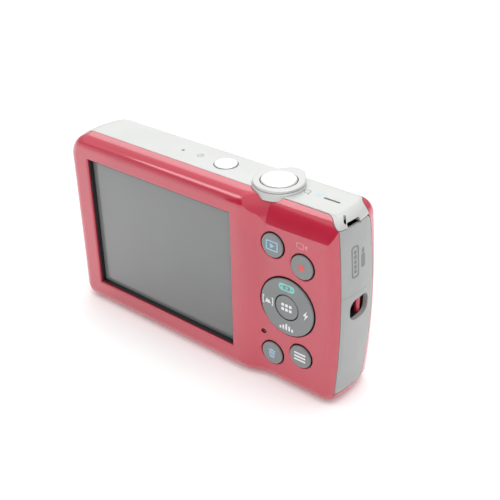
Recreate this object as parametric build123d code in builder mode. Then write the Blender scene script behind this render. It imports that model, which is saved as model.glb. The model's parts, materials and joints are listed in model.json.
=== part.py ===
"""Compact digital camera, as an assembly of separate pieces, in millimetres.

The camera stands on its base. +X is to the photographer's right, +Y is forward along the lens axis and
+Z is up. The origin is the centre of the base. The screen and the buttons are on the back, which faces -Y.
The lens is retracted and its barrier is closed.
"""

import os
from math import asin, atan2, cos, degrees, pi, radians, sin, sqrt

from build123d import *

os.makedirs("parts", exist_ok=True)

# Body ---------------------------------------------------------------------------------------------
WIDTH, HEIGHT, DEPTH = 95.2, 54.3, 22.1
BACK_Y = -DEPTH / 2
LENS_FACE_Y = DEPTH / 2
FRONT_Y = 9.3
WALL = 1.3
CHASSIS_WALL = 0.9
SEAM = 0.16
PLAY = 0.15
FAR = 60
THROUGH_TOP = (HEIGHT - 3, HEIGHT + 3)
THROUGH_BASE = (-1, 3)

# The back steps forward beside the screen, which gives the thumb its place.
STEP_START_X, STEP_RUN, STEP_DEPTH = 16.6, 9.6, 2.15
PANEL_Y = BACK_Y + STEP_DEPTH

# Above the controls the back leans forward in one long shoulder. Points are (Y, Z).
SHOULDER_RADIUS, SHOULDER_FOOT, SHOULDER_CREST = 12.5, (PANEL_Y - 0.2, 46.2), (-5.15, HEIGHT)
SHOULDER_START_X, SHOULDER_FULL_X, SHOULDER_FADE, SHOULDER_RUN_OUT = 16.4, 24.4, 4.8, 2.0

LEFT_CROWN_RADIUS, LEFT_CROWN_Y = 24.0, -0.9
RIGHT_CROWN_RADIUS, RIGHT_CROWN_Y = 28.0, -0.2
CROWN_REACH = 16.0
SIDE_BULGE_RADIUS, SIDE_BULGE_Z, SIDE_BULGE_HALF_TURN = 240.0, 25.0, 15
TOP_LEFT_CORNER, OTHER_CORNERS, LONG_EDGES = 6.8, 4.2, 3.6

# Seams between the casings
REAR_SEAM_TOP_Y, REAR_SEAM_SIDE_Y = -5.4, -7.3
FRONT_SEAM_TOP_Y, FRONT_SEAM_SIDE_Y = 7.3, 4.5
SEAM_BEND_X = (40.2, 45.0)
TOP_COVER_RIGHT_Z, TOP_COVER_LEFT_Z, TOP_COVER_LEFT_X = 51.6, 45.5, -41.0
SIDE_PANEL_BOTTOM_Z, SIDE_PANEL_FRONT_Y, SIDE_CORNER = 3.6, 6.0, 1.6

# Terminal cover, and the finger notch above it
COVER_HINGE_Z, COVER_SEAM, COVER_SKIN, COVER_STEP = 33.0, 0.06, 0.6, 0.45
NOTCH_Y, NOTCH_HEIGHT, NOTCH_FLOOR_X = (-4.6, 0.1), 1.1, 43.0
NOTCH_BEVEL = 0.6
VENT_PLACE, VENT_SIZE, VENT_TURN = (44.3, -4.2), (2.2, 0.6), -52
PLUG_SIZE, PLUG_X = (1.8, 5.2), (45.4, 46.4)

# Screen
SCREEN_LOW, SCREEN_HIGH = (-38.4, 7.1), (14.4, 48.1)
SCREEN_DEPTH, SCREEN_RIM = 1.9, 0.5
BEZEL, BEZEL_SINK = 0.4, 0.75
WINDOW_THICKNESS, LCD_THICKNESS, TRAY_DEPTH = 0.55, 1.28, 2.28
LCD_MARGIN, TRAY_WALL = 1.4, 0.25

# Controls on the back
KEY_RADIUS, KEY_GAP, KEY_PROUD, KEY_TRAVEL = 3.3, 0.28, 0.45, 0.3
KEY_EDGE, KEY_RIM, KEY_FLANGE, KEY_STEM = 0.28, 0.3, 0.7, 0.9
PAD_X, PAD_Z = 31.4, 25.8
PAD_RADIUS, PAD_HOLE_RADIUS, SET_RADIUS = 8.25, 3.8, 3.5
PAD_PIVOT_Y, PAD_PIVOT_THICKNESS, PAD_PIVOT_BORE, PAD_PIVOT_RADIUS = -6.88, 0.3, 4.3, 5.3
KEYS = {
    "play_button": (26.7, 42.3),
    "movie_button": (35.8, 39.3),
    "delete_button": (26.7, 9.4),
    "menu_button": (35.8, 12.3),
}
KEY_BOARD_LOW, KEY_BOARD_HIGH = (22.4, -6.1, 4.6), (41.6, -5.4, 47.4)
DOME_RADIUS, DOME_TOP_RADIUS, DOME_HEIGHT, PAD_DOME_REACH = 1.7, 1.0, 0.25, 6.0
LAMP_X, LAMP_Z, LAMP_RADIUS, LAMP_FLANGE = 23.9, 15.3, 0.7, 1.1

# Controls on the top
POWER_X, POWER_Y, POWER_RADIUS, POWER_PROUD, POWER_TRAVEL = 3.8, 0.6, 3.15, 0.35, 0.3
POWER_FLANGE, POWER_STEM = 0.6, 1.0
SHUTTER_X, SHUTTER_Y, SHUTTER_RADIUS, SHUTTER_TRAVEL = 22.2, -0.6, 4.7, 0.8
SHUTTER_Z, SHUTTER_STEM = (HEIGHT + 0.65, HEIGHT + 1.75), 2.6
STEM_FOOT_Z = HEIGHT - 4.3
LEVER_RADIUS, LEVER_TAB_RADIUS, LEVER_TAB_Y = 6.65, 3.8, 4.2
LEVER_Z = (HEIGHT + 0.75, HEIGHT + 1.4)
LEVER_CUP_RADIUS, LEVER_CUP_Z, LEVER_FLOOR = 5.3, HEIGHT - 0.5, 0.3
LEVER_HUB_RADIUS, LEVER_HUB_Z, LEVER_BORE = 3.65, HEIGHT - 2.1, 2.75
RETAINER_RADIUS, RETAINER_THICKNESS = 5.0, 0.8
GRIP_GROOVES, GRIP_STEP, GRIP_RADIUS = 7, 0.19, 0.25
PLATFORM_RADIUS, PLATFORM_Z = 6.95, HEIGHT + 0.6
MIC_X, MIC_HOLE_RADIUS, MIC_RADIUS = -11.3, 0.45, 2.0
SPEAKER_X, SPEAKER_RADIUS, SPEAKER_SLOT_X, SPEAKER_SLOT = 36.0, 3.2, 37.5, (4.8, 0.7)
SPEAKER_LOW, SPEAKER_HIGH, SPEAKER_TOP_Z = (31.2, -4.3, 49.2), (40.8, 5.1, 51.8), 52.4
TOP_HOLES_Y = 0.4
TOP_BOARD_LOW, TOP_BOARD_HIGH = (-5.0, -4.0, 46.3), (30.0, 4.4, 47.1)

# Lens
LENS_X, LENS_Z = -12.0, 27.2
HOUSING_RADIUS, HOUSING_BORE, HOUSING_Y, HOUSING_FLOOR = 17.8, 16.9, (-4.6, 9.9), 0.7
TRIM_RADIUS, TRIM_BORE = 19.2, 15.05
OUTER_BARREL, OUTER_BARREL_Y = (13.9, 14.9), (-3.5, 10.6)
INNER_BARREL, INNER_BARREL_Y = (12.3, 13.5), (-2.2, 10.4)
LENS_CELL_Y, LENS_CELL_BORE = (4.2, 8.6), 6.7
REAR_LENS_RADIUS, FRONT_LENS_RADIUS = 4.97, 6.65
APERTURE_RADIUS, APERTURE_FLARE, FRONT_PLATE = 4.6, 2.2, 1.0
BLADE_PIVOT, BLADE_PIN_RADIUS, BLADE_HUB_RADIUS = (-9.5, 1.0), 0.55, 1.5
BLADE_LAYERS = {"barrier_blade_upper": (8.72, 8.98), "barrier_blade_lower": (9.06, 9.32)}
ZOOM_RING_RADIUS, ZOOM_RING_BORE, ZOOM_RING_Y = 15.9, 15.2, (-3.75, 5.0)
GEAR_MODULE, RING_TEETH, IDLER_TEETH, PINION_TEETH = 0.4, 82, 20, 10
GEAR_Y = (-3.7, -2.7)
GEAR_ANGLE = radians(222)
GEAR_SLACK = 0.06
IDLER_WELL_RADIUS, IDLER_SPINDLE_RADIUS, PINION_SHAFT_RADIUS = 4.9, 0.55, 0.5
MOTOR_RADIUS, MOTOR_Y, MOTOR_BOSS_RADIUS = 4.0, (-2.2, 7.2), 1.6
SENSOR_HALF, SENSOR_Y, SENSOR_BOARD_HALF, SENSOR_BOARD_Y = (4.1, 3.3), (-4.65, -4.0), (10, 8), (-5.2, -4.65)

# Boards
MAIN_BOARD_LOW, MAIN_BOARD_HIGH, CHIP_HEIGHT = (-41.5, -6.15, 5.0), (17.8, -5.35, 49.0), 0.6
CHIPS = (((-30, 20), (9, 9)), ((5, 38), (10, 8)), ((6, 14), (7, 7)), ((-30, 38), (6, 5)))

# Battery, card and door
BATTERY_LOW, BATTERY_SIZE, BATTERY_CORNER = (7.6, 0.7, 3.9), (33.8, 5.2, 40.2), 1.2
BATTERY_PLAY, BATTERY_BOX_WALL, BATTERY_BOX_LOW_Z = 0.2, 0.7, 2.8
CONTACTS, CONTACT_PITCH, CONTACT_WIDTH, CONTACT_Y = 3, 2.6, 1.2, (2.6, 4.0)
CARD_LOW, CARD_SIZE, CARD_CORNER = (12.4, -3.75, 3.2), (24.0, 2.1, 32.0), 3.0
SLOT_PLAY, SLOT_WALL, SLOT_Z = (0.15, 0.12), (0.35, 0.28), (6.0, 36.0)
DOOR_X, DOOR_REAR_Y, DOOR_Z = (7.4, 42.8), -3.9, (0.12, 1.42)
DOOR_HINGE_Y, DOOR_HINGE_Z = 5.5, sum(DOOR_Z) / 2
DOOR_EDGE_RADIUS = (DOOR_Z[1] - DOOR_Z[0]) / 2
DOOR_PIN_RADIUS, DOOR_PIN_REACH = 0.35, 1.3
DOOR_RIB_Y, DOOR_RIB_HEIGHT = (0.8, 1.6), 0.9
LATCH_HALF, LATCH_TRAVEL = (3.5, 1.3), 2.0
LATCH_X, LATCH_Y, LATCH_Z, LATCH_GAP = 34.0, -1.6, (0.17, 0.8), 0.2
LATCH_GROOVES, LATCH_GROOVE_PITCH, LATCH_GROOVE = 5, 1.1, (0.4, 1.8, 0.36)

# Base and side fittings
TRIPOD_X, TRIPOD_Y, TRIPOD_RADIUS, TRIPOD_DEPTH = LENS_X, 0.0, 3.2, 5.6
TRIPOD_INSERT_RADIUS, TRIPOD_FLANGE_RADIUS, TRIPOD_Z = 4.6, 6.2, 0.2
STRAP_Y, STRAP_Z, STRAP_CORNER = (-4.5, 3.2), (25.3, 31.3), 2.4
STRAP_BAR_RADIUS, STRAP_BAR_X, STRAP_BAR_Y, STRAP_BAR_REACH = 0.9, 45.25, 1.4, 0.45
STRAP_FLOOR_X, STRAP_RIM_X, STRAP_WALL = 43.0, 45.7, 0.5
PORT_Y, PORT_Z, PORT_X, PORT_FLOOR_X, PORT_WALL = (-4.2, -1.2), (38.3, 45.7), (38.7, 45.2), 39.7, 0.4
PORT_TONGUE, PORT_TONGUE_X = 0.3, 44.3
SCREW_HEAD_RADIUS, SCREW_HEAD_HEIGHT, SCREW_RADIUS, SCREW_LENGTH = 1.5, 0.6, 0.6, 2.2
SCREW_SLOT, SCREW_SEAT_DEPTH = (1.9, 0.35), 0.75
BASE_SCREWS = ((-36.0, 1.5), (1.5, 1.5))
SIDE_SCREWS = ((1.0, 14.0), (1.0, 38.0))

# Flash and focus lamp
FLASH_X, FLASH_Z, FLASH_SIZE, FLASH_CORNER = -38.5, 43.6, (9.6, 5.8), 1.2
WINDOW_PROUD, FLASH_WINDOW_THICKNESS = 0.05, 1.5
REFLECTOR_HALF, REFLECTOR_Y, REFLECTOR_BOWL_HALF = (5, 3.1), (3.0, 7.7), (4.6, 2.7)
BOWL_Y, BOWL_SHOULDER = (3.5, 8.0), (4.4, 1.6)
TUBE_Y, TUBE_RADIUS, TUBE_HALF = 4.9, 0.9, 4.5
CAPACITOR_PLACE, CAPACITOR_Z, CAPACITOR_RADIUS = (-39.0, 2.0), (14.0, 39.0), 4.3
AF_LAMP_X, AF_LAMP_Z, AF_LAMP_RADIUS, AF_LAMP_DEPTH = -26.6, 46.4, 1.9, 2.2


# Helpers --------------------------------------------------------------------------------------------
def block(low, high, mode=Mode.ADD):
    """A box between two opposite corners, in the current builder."""
    low, high = Vector(*low), Vector(*high)
    size = high - low
    with Locations((low + high) / 2):
        return Box(size.X, size.Y, size.Z, mode=mode)


def rod_x(y, z, span, radius, mode=Mode.ADD):
    """A cylinder along X between the two ends of span."""
    with Locations(Location(((span[0] + span[1]) / 2, y, z), (0, 90, 0))):
        return Cylinder(radius, span[1] - span[0], mode=mode)


def rod_y(x, z, span, radius, mode=Mode.ADD):
    """A cylinder along Y between the two ends of span."""
    with Locations(Location((x, (span[0] + span[1]) / 2, z), (90, 0, 0))):
        return Cylinder(radius, span[1] - span[0], mode=mode)


def rod_z(x, y, span, radius, mode=Mode.ADD):
    """A cylinder along Z between the two ends of span."""
    with Locations((x, y, (span[0] + span[1]) / 2)):
        return Cylinder(radius, span[1] - span[0], mode=mode)


def plane_at_y(y):
    """A plane across Y whose local x and y are X and Z; it extrudes towards -Y."""
    return Plane.XZ.offset(-y)


def on_circle(x, z, radius, angle):
    """The point (X, Z) at an angle from +X towards +Z on a circle about (x, z)."""
    return x + radius * cos(angle), z + radius * sin(angle)


def save(builder, name):
    builder.part.label = name
    export_step(builder.part, f"parts/{name}.step")


# The outer form, and the same form taken in by a wall ---------------------------------------------
def plan_prism(inset):
    """The body's plan, with the step in its back, extruded up. Its ends run on past the body."""
    radius = (STEP_RUN**2 + STEP_DEPTH**2) / (4 * STEP_DEPTH)
    turn = degrees(asin(STEP_RUN / (2 * radius)))
    with BuildPart() as prism:
        with BuildSketch(Plane.XY.offset(inset)):
            with BuildLine():
                behind_screen = Line((-FAR, BACK_Y + inset), (STEP_START_X, BACK_Y + inset))
                step_out = JernArc(behind_screen @ 1, behind_screen % 1, radius - inset, turn)
                step_in = JernArc(step_out @ 1, step_out % 1, radius + inset, -turn)
                Polyline(
                    step_in @ 1,
                    (FAR, PANEL_Y + inset),
                    (FAR, FRONT_Y - inset),
                    (-FAR, FRONT_Y - inset),
                    (-FAR, BACK_Y + inset),
                )
            make_face()
        extrude(amount=HEIGHT - 2 * inset)
    return prism.part


def crown_face(apex_x, apex_y, radius, far_x):
    """A face from far_x to an arc across Y, whose furthest point is the apex."""
    sag = radius - sqrt(radius**2 - CROWN_REACH**2)
    inward = sag if far_x > apex_x else -sag
    with BuildSketch(Plane.XY) as face:
        with BuildLine():
            ThreePointArc(
                (apex_x + inward, apex_y - CROWN_REACH),
                (apex_x, apex_y),
                (apex_x + inward, apex_y + CROWN_REACH),
            )
            Polyline(
                (apex_x + inward, apex_y + CROWN_REACH),
                (far_x, apex_y + CROWN_REACH),
                (far_x, apex_y - CROWN_REACH),
                (apex_x + inward, apex_y - CROWN_REACH),
            )
        make_face()
    return face.sketch


def left_crown(inset):
    with BuildPart() as crown:
        add(crown_face(-WIDTH / 2 + inset, LEFT_CROWN_Y, LEFT_CROWN_RADIUS - inset, FAR))
        extrude(amount=HEIGHT)
    return crown.part


def right_crown(inset):
    """The right side is crowned across its depth and bulges in its height."""
    axis = Axis((WIDTH / 2 - SIDE_BULGE_RADIUS, 0, SIDE_BULGE_Z), (0, 1, 0))
    face = crown_face(WIDTH / 2 - inset, RIGHT_CROWN_Y, RIGHT_CROWN_RADIUS - inset, -FAR)
    with BuildPart() as crown:
        add(Pos(0, 0, SIDE_BULGE_Z) * face)
        revolve(axis=axis, revolution_arc=2 * SIDE_BULGE_HALF_TURN)
    return crown.part.rotate(axis, -SIDE_BULGE_HALF_TURN)


def shoulder_cut(inset):
    """What the shoulder takes off the upper rear edge. At its left end it fades out of the body."""
    chord = Vector(*SHOULDER_CREST) - Vector(*SHOULDER_FOOT)
    half_turn = degrees(asin(chord.length / (2 * SHOULDER_RADIUS)))
    lean = degrees(atan2(chord.X, chord.Y))
    foot_lean = radians(lean - half_turn)
    centre_y = SHOULDER_FOOT[0] + SHOULDER_RADIUS * cos(foot_lean)
    centre_z = SHOULDER_FOOT[1] - SHOULDER_RADIUS * sin(foot_lean)
    first_angle = 180 - lean - half_turn
    with BuildPart() as cut:
        for x, fade in ((SHOULDER_START_X, SHOULDER_FADE), (SHOULDER_FULL_X, 0), (FAR, 0)):
            with BuildSketch(Plane.YZ.offset(x)):
                with BuildLine():
                    centre = (centre_y - fade, centre_z)
                    arc = CenterArc(centre, SHOULDER_RADIUS - inset, first_angle, 2 * half_turn)
                    run_out = Line(arc @ 0, (arc @ 0) - (arc % 0) * SHOULDER_RUN_OUT)
                    Polyline(run_out @ 1, (-FAR, (run_out @ 1).Y), (-FAR, (arc @ 1).Y), arc @ 1)
                make_face()
        loft(ruled=True)
    return cut.part


def body_form(inset):
    """The camera's outer form, taken in by inset all round."""
    with BuildPart() as form:
        add(plan_prism(inset))
        add(left_crown(inset), mode=Mode.INTERSECT)
        add(right_crown(inset), mode=Mode.INTERSECT)
        corners = form.edges().filter_by(lambda e: e.bounding_box().size.Y > DEPTH / 2)
        top_left = corners.group_by(Axis.X)[0].sort_by(Axis.Z)[-1].center()
        others = corners.filter_by(lambda e: (e.center() - top_left).length > 1)
        fillet(others, OTHER_CORNERS - inset)
        corners = form.edges().filter_by(lambda e: e.bounding_box().size.Y > DEPTH / 2)
        fillet(corners.filter_by(lambda e: (e.center() - top_left).length < 1), TOP_LEFT_CORNER - inset)
        back_edge = form.edges().filter_by_position(
            Axis.Y, BACK_Y + inset - 0.01, BACK_Y + inset + 0.01
        )
        fillet(back_edge.sort_by(Axis.Z)[0], LONG_EDGES - inset)
        front_edge = form.edges().filter_by_position(
            Axis.Y, FRONT_Y - inset - 0.01, FRONT_Y - inset + 0.01
        )
        fillet(front_edge.sort_by(Axis.Z)[0], LONG_EDGES - inset)
        add(shoulder_cut(inset), mode=Mode.SUBTRACT)
    return form.part


def seam_line(top_y, side_y):
    """A seam in plan, along X: at top_y, then an S bend to side_y at the right-hand end."""
    low, high = SEAM_BEND_X
    middle = ((low + high) / 2, (top_y + side_y) / 2)
    straight = Line((-FAR, top_y), (low, top_y))
    bend_in = TangentArc(straight @ 1, middle, tangent=(1, 0))
    bend_out = TangentArc(middle, (high, side_y), tangent=bend_in % 1)
    end = Line(bend_out @ 1, (FAR, side_y))
    return straight, end


def zone_between(front, rear=None):
    """Everything behind the front seam and ahead of the rear one. Seams are (top_y, side_y)."""
    with BuildPart() as zone:
        with BuildSketch(Plane.XY.offset(-10)):
            with BuildLine():
                front_start, front_end = seam_line(*front)
                if rear:
                    rear_start, rear_end = seam_line(*rear)
                    Line(rear_start @ 0, front_start @ 0)
                    Line(rear_end @ 1, front_end @ 1)
                else:
                    Polyline(front_start @ 0, (-FAR, -FAR), (FAR, -FAR), front_end @ 1)
            make_face()
        extrude(amount=HEIGHT + 20)
    return zone.part


def rear_zone(gap):
    """The part of the body that belongs to the rear case, taken in by gap at the seam."""
    return zone_between((REAR_SEAM_TOP_Y - gap, REAR_SEAM_SIDE_Y - gap))


def top_zone(gap):
    """The part of the body that belongs to the top cover, taken in by gap at its seams."""
    band = zone_between(
        (FRONT_SEAM_TOP_Y - gap, FRONT_SEAM_SIDE_Y - gap),
        rear=(REAR_SEAM_TOP_Y + gap, REAR_SEAM_SIDE_Y + gap),
    )
    with BuildPart() as zone:
        with BuildSketch(plane_at_y(FAR)):
            with BuildLine():
                Polyline(
                    (-FAR, TOP_COVER_LEFT_Z + gap),
                    (TOP_COVER_LEFT_X, TOP_COVER_LEFT_Z + gap),
                    (TOP_COVER_LEFT_X, TOP_COVER_RIGHT_Z + gap),
                    (FAR, TOP_COVER_RIGHT_Z + gap),
                    (FAR, HEIGHT + 5),
                    (-FAR, HEIGHT + 5),
                    close=True,
                )
            make_face()
        extrude(amount=2 * FAR)
        add(band, mode=Mode.INTERSECT)
    return zone.part


def side_zone(gap, low_z=SIDE_PANEL_BOTTOM_Z, high_z=TOP_COVER_RIGHT_Z):
    """The grey side's outline, seen from the right, between two heights, taken in by gap."""
    low, high = SIDE_PANEL_BOTTOM_Z + gap, TOP_COVER_RIGHT_Z - gap
    rear, front = REAR_SEAM_SIDE_Y + gap, SIDE_PANEL_FRONT_Y - gap
    front_foot, front_head = front - 2.0, front - 1.5
    with BuildPart() as zone:
        with BuildSketch(Plane.YZ.offset(40)) as outline:
            with BuildLine():
                Polyline((front_foot, low), (rear, low), (rear, high), (front_head, high))
                ThreePointArc((front_head, high), (front, (low + high) / 2), (front_foot, low))
            make_face()
            fillet(outline.vertices().group_by(Axis.X)[-1], SIDE_CORNER)
        extrude(amount=20)
        block((40, -20, low_z + gap), (60, 20, high_z - gap), mode=Mode.INTERSECT)
        add(rear_zone(-gap), mode=Mode.SUBTRACT)
    return zone.part


outer_form = body_form(0)
cavity_form = body_form(WALL)
with BuildPart() as skin_builder:
    add(outer_form)
    add(cavity_form, mode=Mode.SUBTRACT)
skin = skin_builder.part


# Casings --------------------------------------------------------------------------------------------
def panel_hole(x, z, radius):
    """A round hole through the control panel."""
    rod_y(x, z, (PANEL_Y - 3, PANEL_Y + 4), radius, mode=Mode.SUBTRACT)


def in_screen_opening(edge):
    """Whether an edge lies on the rim of the screen opening."""
    middle, slack = edge.center(), 0.1
    across = SCREEN_LOW[0] - slack < middle.X < SCREEN_HIGH[0] + slack
    return across and SCREEN_LOW[1] - slack < middle.Z < SCREEN_HIGH[1] + slack


with BuildPart() as rear_case:
    add(skin)
    add(rear_zone(SEAM / 2), mode=Mode.INTERSECT)
    block(
        (SCREEN_LOW[0], BACK_Y - 1, SCREEN_LOW[1]),
        (SCREEN_HIGH[0], BACK_Y + 4, SCREEN_HIGH[1]),
        mode=Mode.SUBTRACT,
    )
    for x, z in KEYS.values():
        panel_hole(x, z, KEY_RADIUS + KEY_GAP)
    panel_hole(PAD_X, PAD_Z, PAD_RADIUS + KEY_GAP)
    panel_hole(LAMP_X, LAMP_Z, LAMP_RADIUS + 0.05)
    platform_gap_z = (HEIGHT - WALL - SEAM / 2, THROUGH_TOP[1])
    rod_z(SHUTTER_X, SHUTTER_Y, platform_gap_z, PLATFORM_RADIUS + SEAM / 2, mode=Mode.SUBTRACT)
    screen_rim = rear_case.edges().filter_by_position(Axis.Y, BACK_Y - 0.01, BACK_Y + 0.01)
    fillet(screen_rim.filter_by(in_screen_opening), SCREEN_RIM)
    hole_rims = rear_case.edges().filter_by(GeomType.CIRCLE)
    hole_rims = hole_rims.filter_by_position(Axis.Y, PANEL_Y - 0.01, PANEL_Y + 0.01)
    fillet(hole_rims.filter_by(lambda e: e.radius > LAMP_FLANGE), KEY_RIM)
save(rear_case, "rear_case")

with BuildPart() as top_cover:
    add(skin)
    add(top_zone(SEAM / 2), mode=Mode.INTERSECT)
    rod_z(SHUTTER_X, SHUTTER_Y, (HEIGHT - WALL, PLATFORM_Z), PLATFORM_RADIUS)
    rim = top_cover.edges().filter_by(GeomType.CIRCLE)
    rim = rim.filter_by_position(Axis.Z, PLATFORM_Z - 0.01, PLATFORM_Z + 0.01)
    fillet(rim, 0.25)
    # Well for the lever's cup, with the hole for its hub in the floor
    well_z = (LEVER_CUP_Z - PLAY, THROUGH_TOP[1])
    rod_z(SHUTTER_X, SHUTTER_Y, well_z, LEVER_CUP_RADIUS + PLAY, mode=Mode.SUBTRACT)
    rod_z(SHUTTER_X, SHUTTER_Y, THROUGH_TOP, LEVER_HUB_RADIUS + 0.1, mode=Mode.SUBTRACT)
    rod_z(POWER_X, POWER_Y, THROUGH_TOP, POWER_RADIUS + 0.2, mode=Mode.SUBTRACT)
    rod_z(MIC_X, TOP_HOLES_Y, THROUGH_TOP, MIC_HOLE_RADIUS, mode=Mode.SUBTRACT)
    with BuildSketch(Plane.XY.offset(THROUGH_TOP[0])):
        with Locations((SPEAKER_SLOT_X, TOP_HOLES_Y)):
            SlotOverall(*SPEAKER_SLOT)
        with Locations(Location((*VENT_PLACE, 0), (0, 0, VENT_TURN))):
            SlotOverall(*VENT_SIZE)
    extrude(amount=THROUGH_TOP[1] - THROUGH_TOP[0], mode=Mode.SUBTRACT)
    # Finger notch over the terminal cover, rounded at its rear upper corner
    with BuildSketch(Plane.YZ.offset(NOTCH_FLOOR_X)) as notch_side:
        low, high = TOP_COVER_RIGHT_Z - 1, TOP_COVER_RIGHT_Z + NOTCH_HEIGHT
        with BuildLine():
            Polyline((NOTCH_Y[0], low), (NOTCH_Y[1], low), (NOTCH_Y[1], high), (NOTCH_Y[0], high), close=True)
        make_face()
        fillet(notch_side.vertices().group_by(Axis.Y)[-1], NOTCH_HEIGHT / 2)
    extrude(amount=FAR, mode=Mode.SUBTRACT)
save(top_cover, "top_cover")

with BuildPart() as front_case:
    add(skin)
    for zone in (rear_zone(-SEAM / 2), top_zone(-SEAM / 2), side_zone(-SEAM / 2)):
        add(zone, mode=Mode.SUBTRACT)
    rod_y(LENS_X, LENS_Z, (0, 20), HOUSING_RADIUS + PLAY, mode=Mode.SUBTRACT)
    with BuildSketch(plane_at_y(20)):
        with Locations((FLASH_X, FLASH_Z)):
            RectangleRounded(FLASH_SIZE[0] + PLAY, FLASH_SIZE[1] + PLAY, FLASH_CORNER + PLAY / 2)
    extrude(amount=15, mode=Mode.SUBTRACT)
    rod_y(AF_LAMP_X, AF_LAMP_Z, (5, 20), AF_LAMP_RADIUS + PLAY / 2, mode=Mode.SUBTRACT)
    rod_z(TRIPOD_X, TRIPOD_Y, THROUGH_BASE, TRIPOD_INSERT_RADIUS + PLAY / 2, mode=Mode.SUBTRACT)
    block(
        (DOOR_X[0] - PLAY, DOOR_REAR_Y - PLAY, THROUGH_BASE[0]),
        (DOOR_X[1] + PLAY, DOOR_HINGE_Y + DOOR_EDGE_RADIUS + PLAY, THROUGH_BASE[1]),
        mode=Mode.SUBTRACT,
    )
    rod_x(
        DOOR_HINGE_Y,
        DOOR_HINGE_Z,
        (DOOR_X[0] - DOOR_PIN_REACH - 0.1, DOOR_X[1] + DOOR_PIN_REACH + 0.1),
        DOOR_PIN_RADIUS + 0.01,
        mode=Mode.SUBTRACT,
    )
    for x, y in BASE_SCREWS:
        rod_z(x, y, THROUGH_BASE, SCREW_RADIUS + 0.3, mode=Mode.SUBTRACT)
        rod_z(x, y, (THROUGH_BASE[0], SCREW_SEAT_DEPTH), SCREW_HEAD_RADIUS + PLAY, mode=Mode.SUBTRACT)
    for y, z in SIDE_SCREWS:
        rod_x(y, z, (-FAR, LENS_X), SCREW_RADIUS + 0.3, mode=Mode.SUBTRACT)
        rod_x(y, z, (-FAR, SCREW_SEAT_DEPTH - WIDTH / 2), SCREW_HEAD_RADIUS + PLAY, mode=Mode.SUBTRACT)
save(front_case, "front_case")

# Behind its outer skin the cover steps in all round, so that its rim clears as it swings.
cover_low = COVER_HINGE_Z - (SEAM - COVER_SEAM) / 2
cover_zone = side_zone(SEAM / 2, cover_low, TOP_COVER_RIGHT_Z)
with BuildPart() as cover_step:
    add(body_form(COVER_SKIN))
    add(side_zone(SEAM / 2 + COVER_STEP, COVER_HINGE_Z, TOP_COVER_RIGHT_Z), mode=Mode.SUBTRACT)

with BuildPart() as terminal_cover:
    add(skin)
    add(cover_zone, mode=Mode.INTERSECT)
    add(cover_step.part, mode=Mode.SUBTRACT)
    # Bevel below the finger notch
    bevel_top = TOP_COVER_RIGHT_Z + 0.2
    with BuildSketch(plane_at_y(NOTCH_Y[1])):
        with BuildLine():
            Polyline(
                (NOTCH_FLOOR_X, bevel_top),
                (WIDTH / 2, bevel_top),
                (WIDTH / 2, TOP_COVER_RIGHT_Z - NOTCH_BEVEL),
                (NOTCH_FLOOR_X, TOP_COVER_RIGHT_Z),
                close=True,
            )
        make_face()
    extrude(amount=NOTCH_Y[1] - NOTCH_Y[0], mode=Mode.SUBTRACT)
    plug_y, plug_z = sum(PORT_Y) / 2, sum(PORT_Z) / 2
    block(
        (PLUG_X[0], plug_y - PLUG_SIZE[0] / 2, plug_z - PLUG_SIZE[1] / 2),
        (PLUG_X[1], plug_y + PLUG_SIZE[0] / 2, plug_z + PLUG_SIZE[1] / 2),
    )
save(terminal_cover, "terminal_cover")

with BuildPart() as side_panel:
    add(skin)
    panel_high = COVER_HINGE_Z + (SEAM - COVER_SEAM) / 2
    add(side_zone(SEAM / 2, SIDE_PANEL_BOTTOM_Z, panel_high), mode=Mode.INTERSECT)
    with BuildSketch(Plane.YZ.offset(STRAP_FLOOR_X)):
        with Locations((sum(STRAP_Y) / 2, sum(STRAP_Z) / 2)):
            RectangleRounded(STRAP_Y[1] - STRAP_Y[0], STRAP_Z[1] - STRAP_Z[0], STRAP_CORNER)
    extrude(amount=FAR, mode=Mode.SUBTRACT)
save(side_panel, "side_panel")

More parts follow.
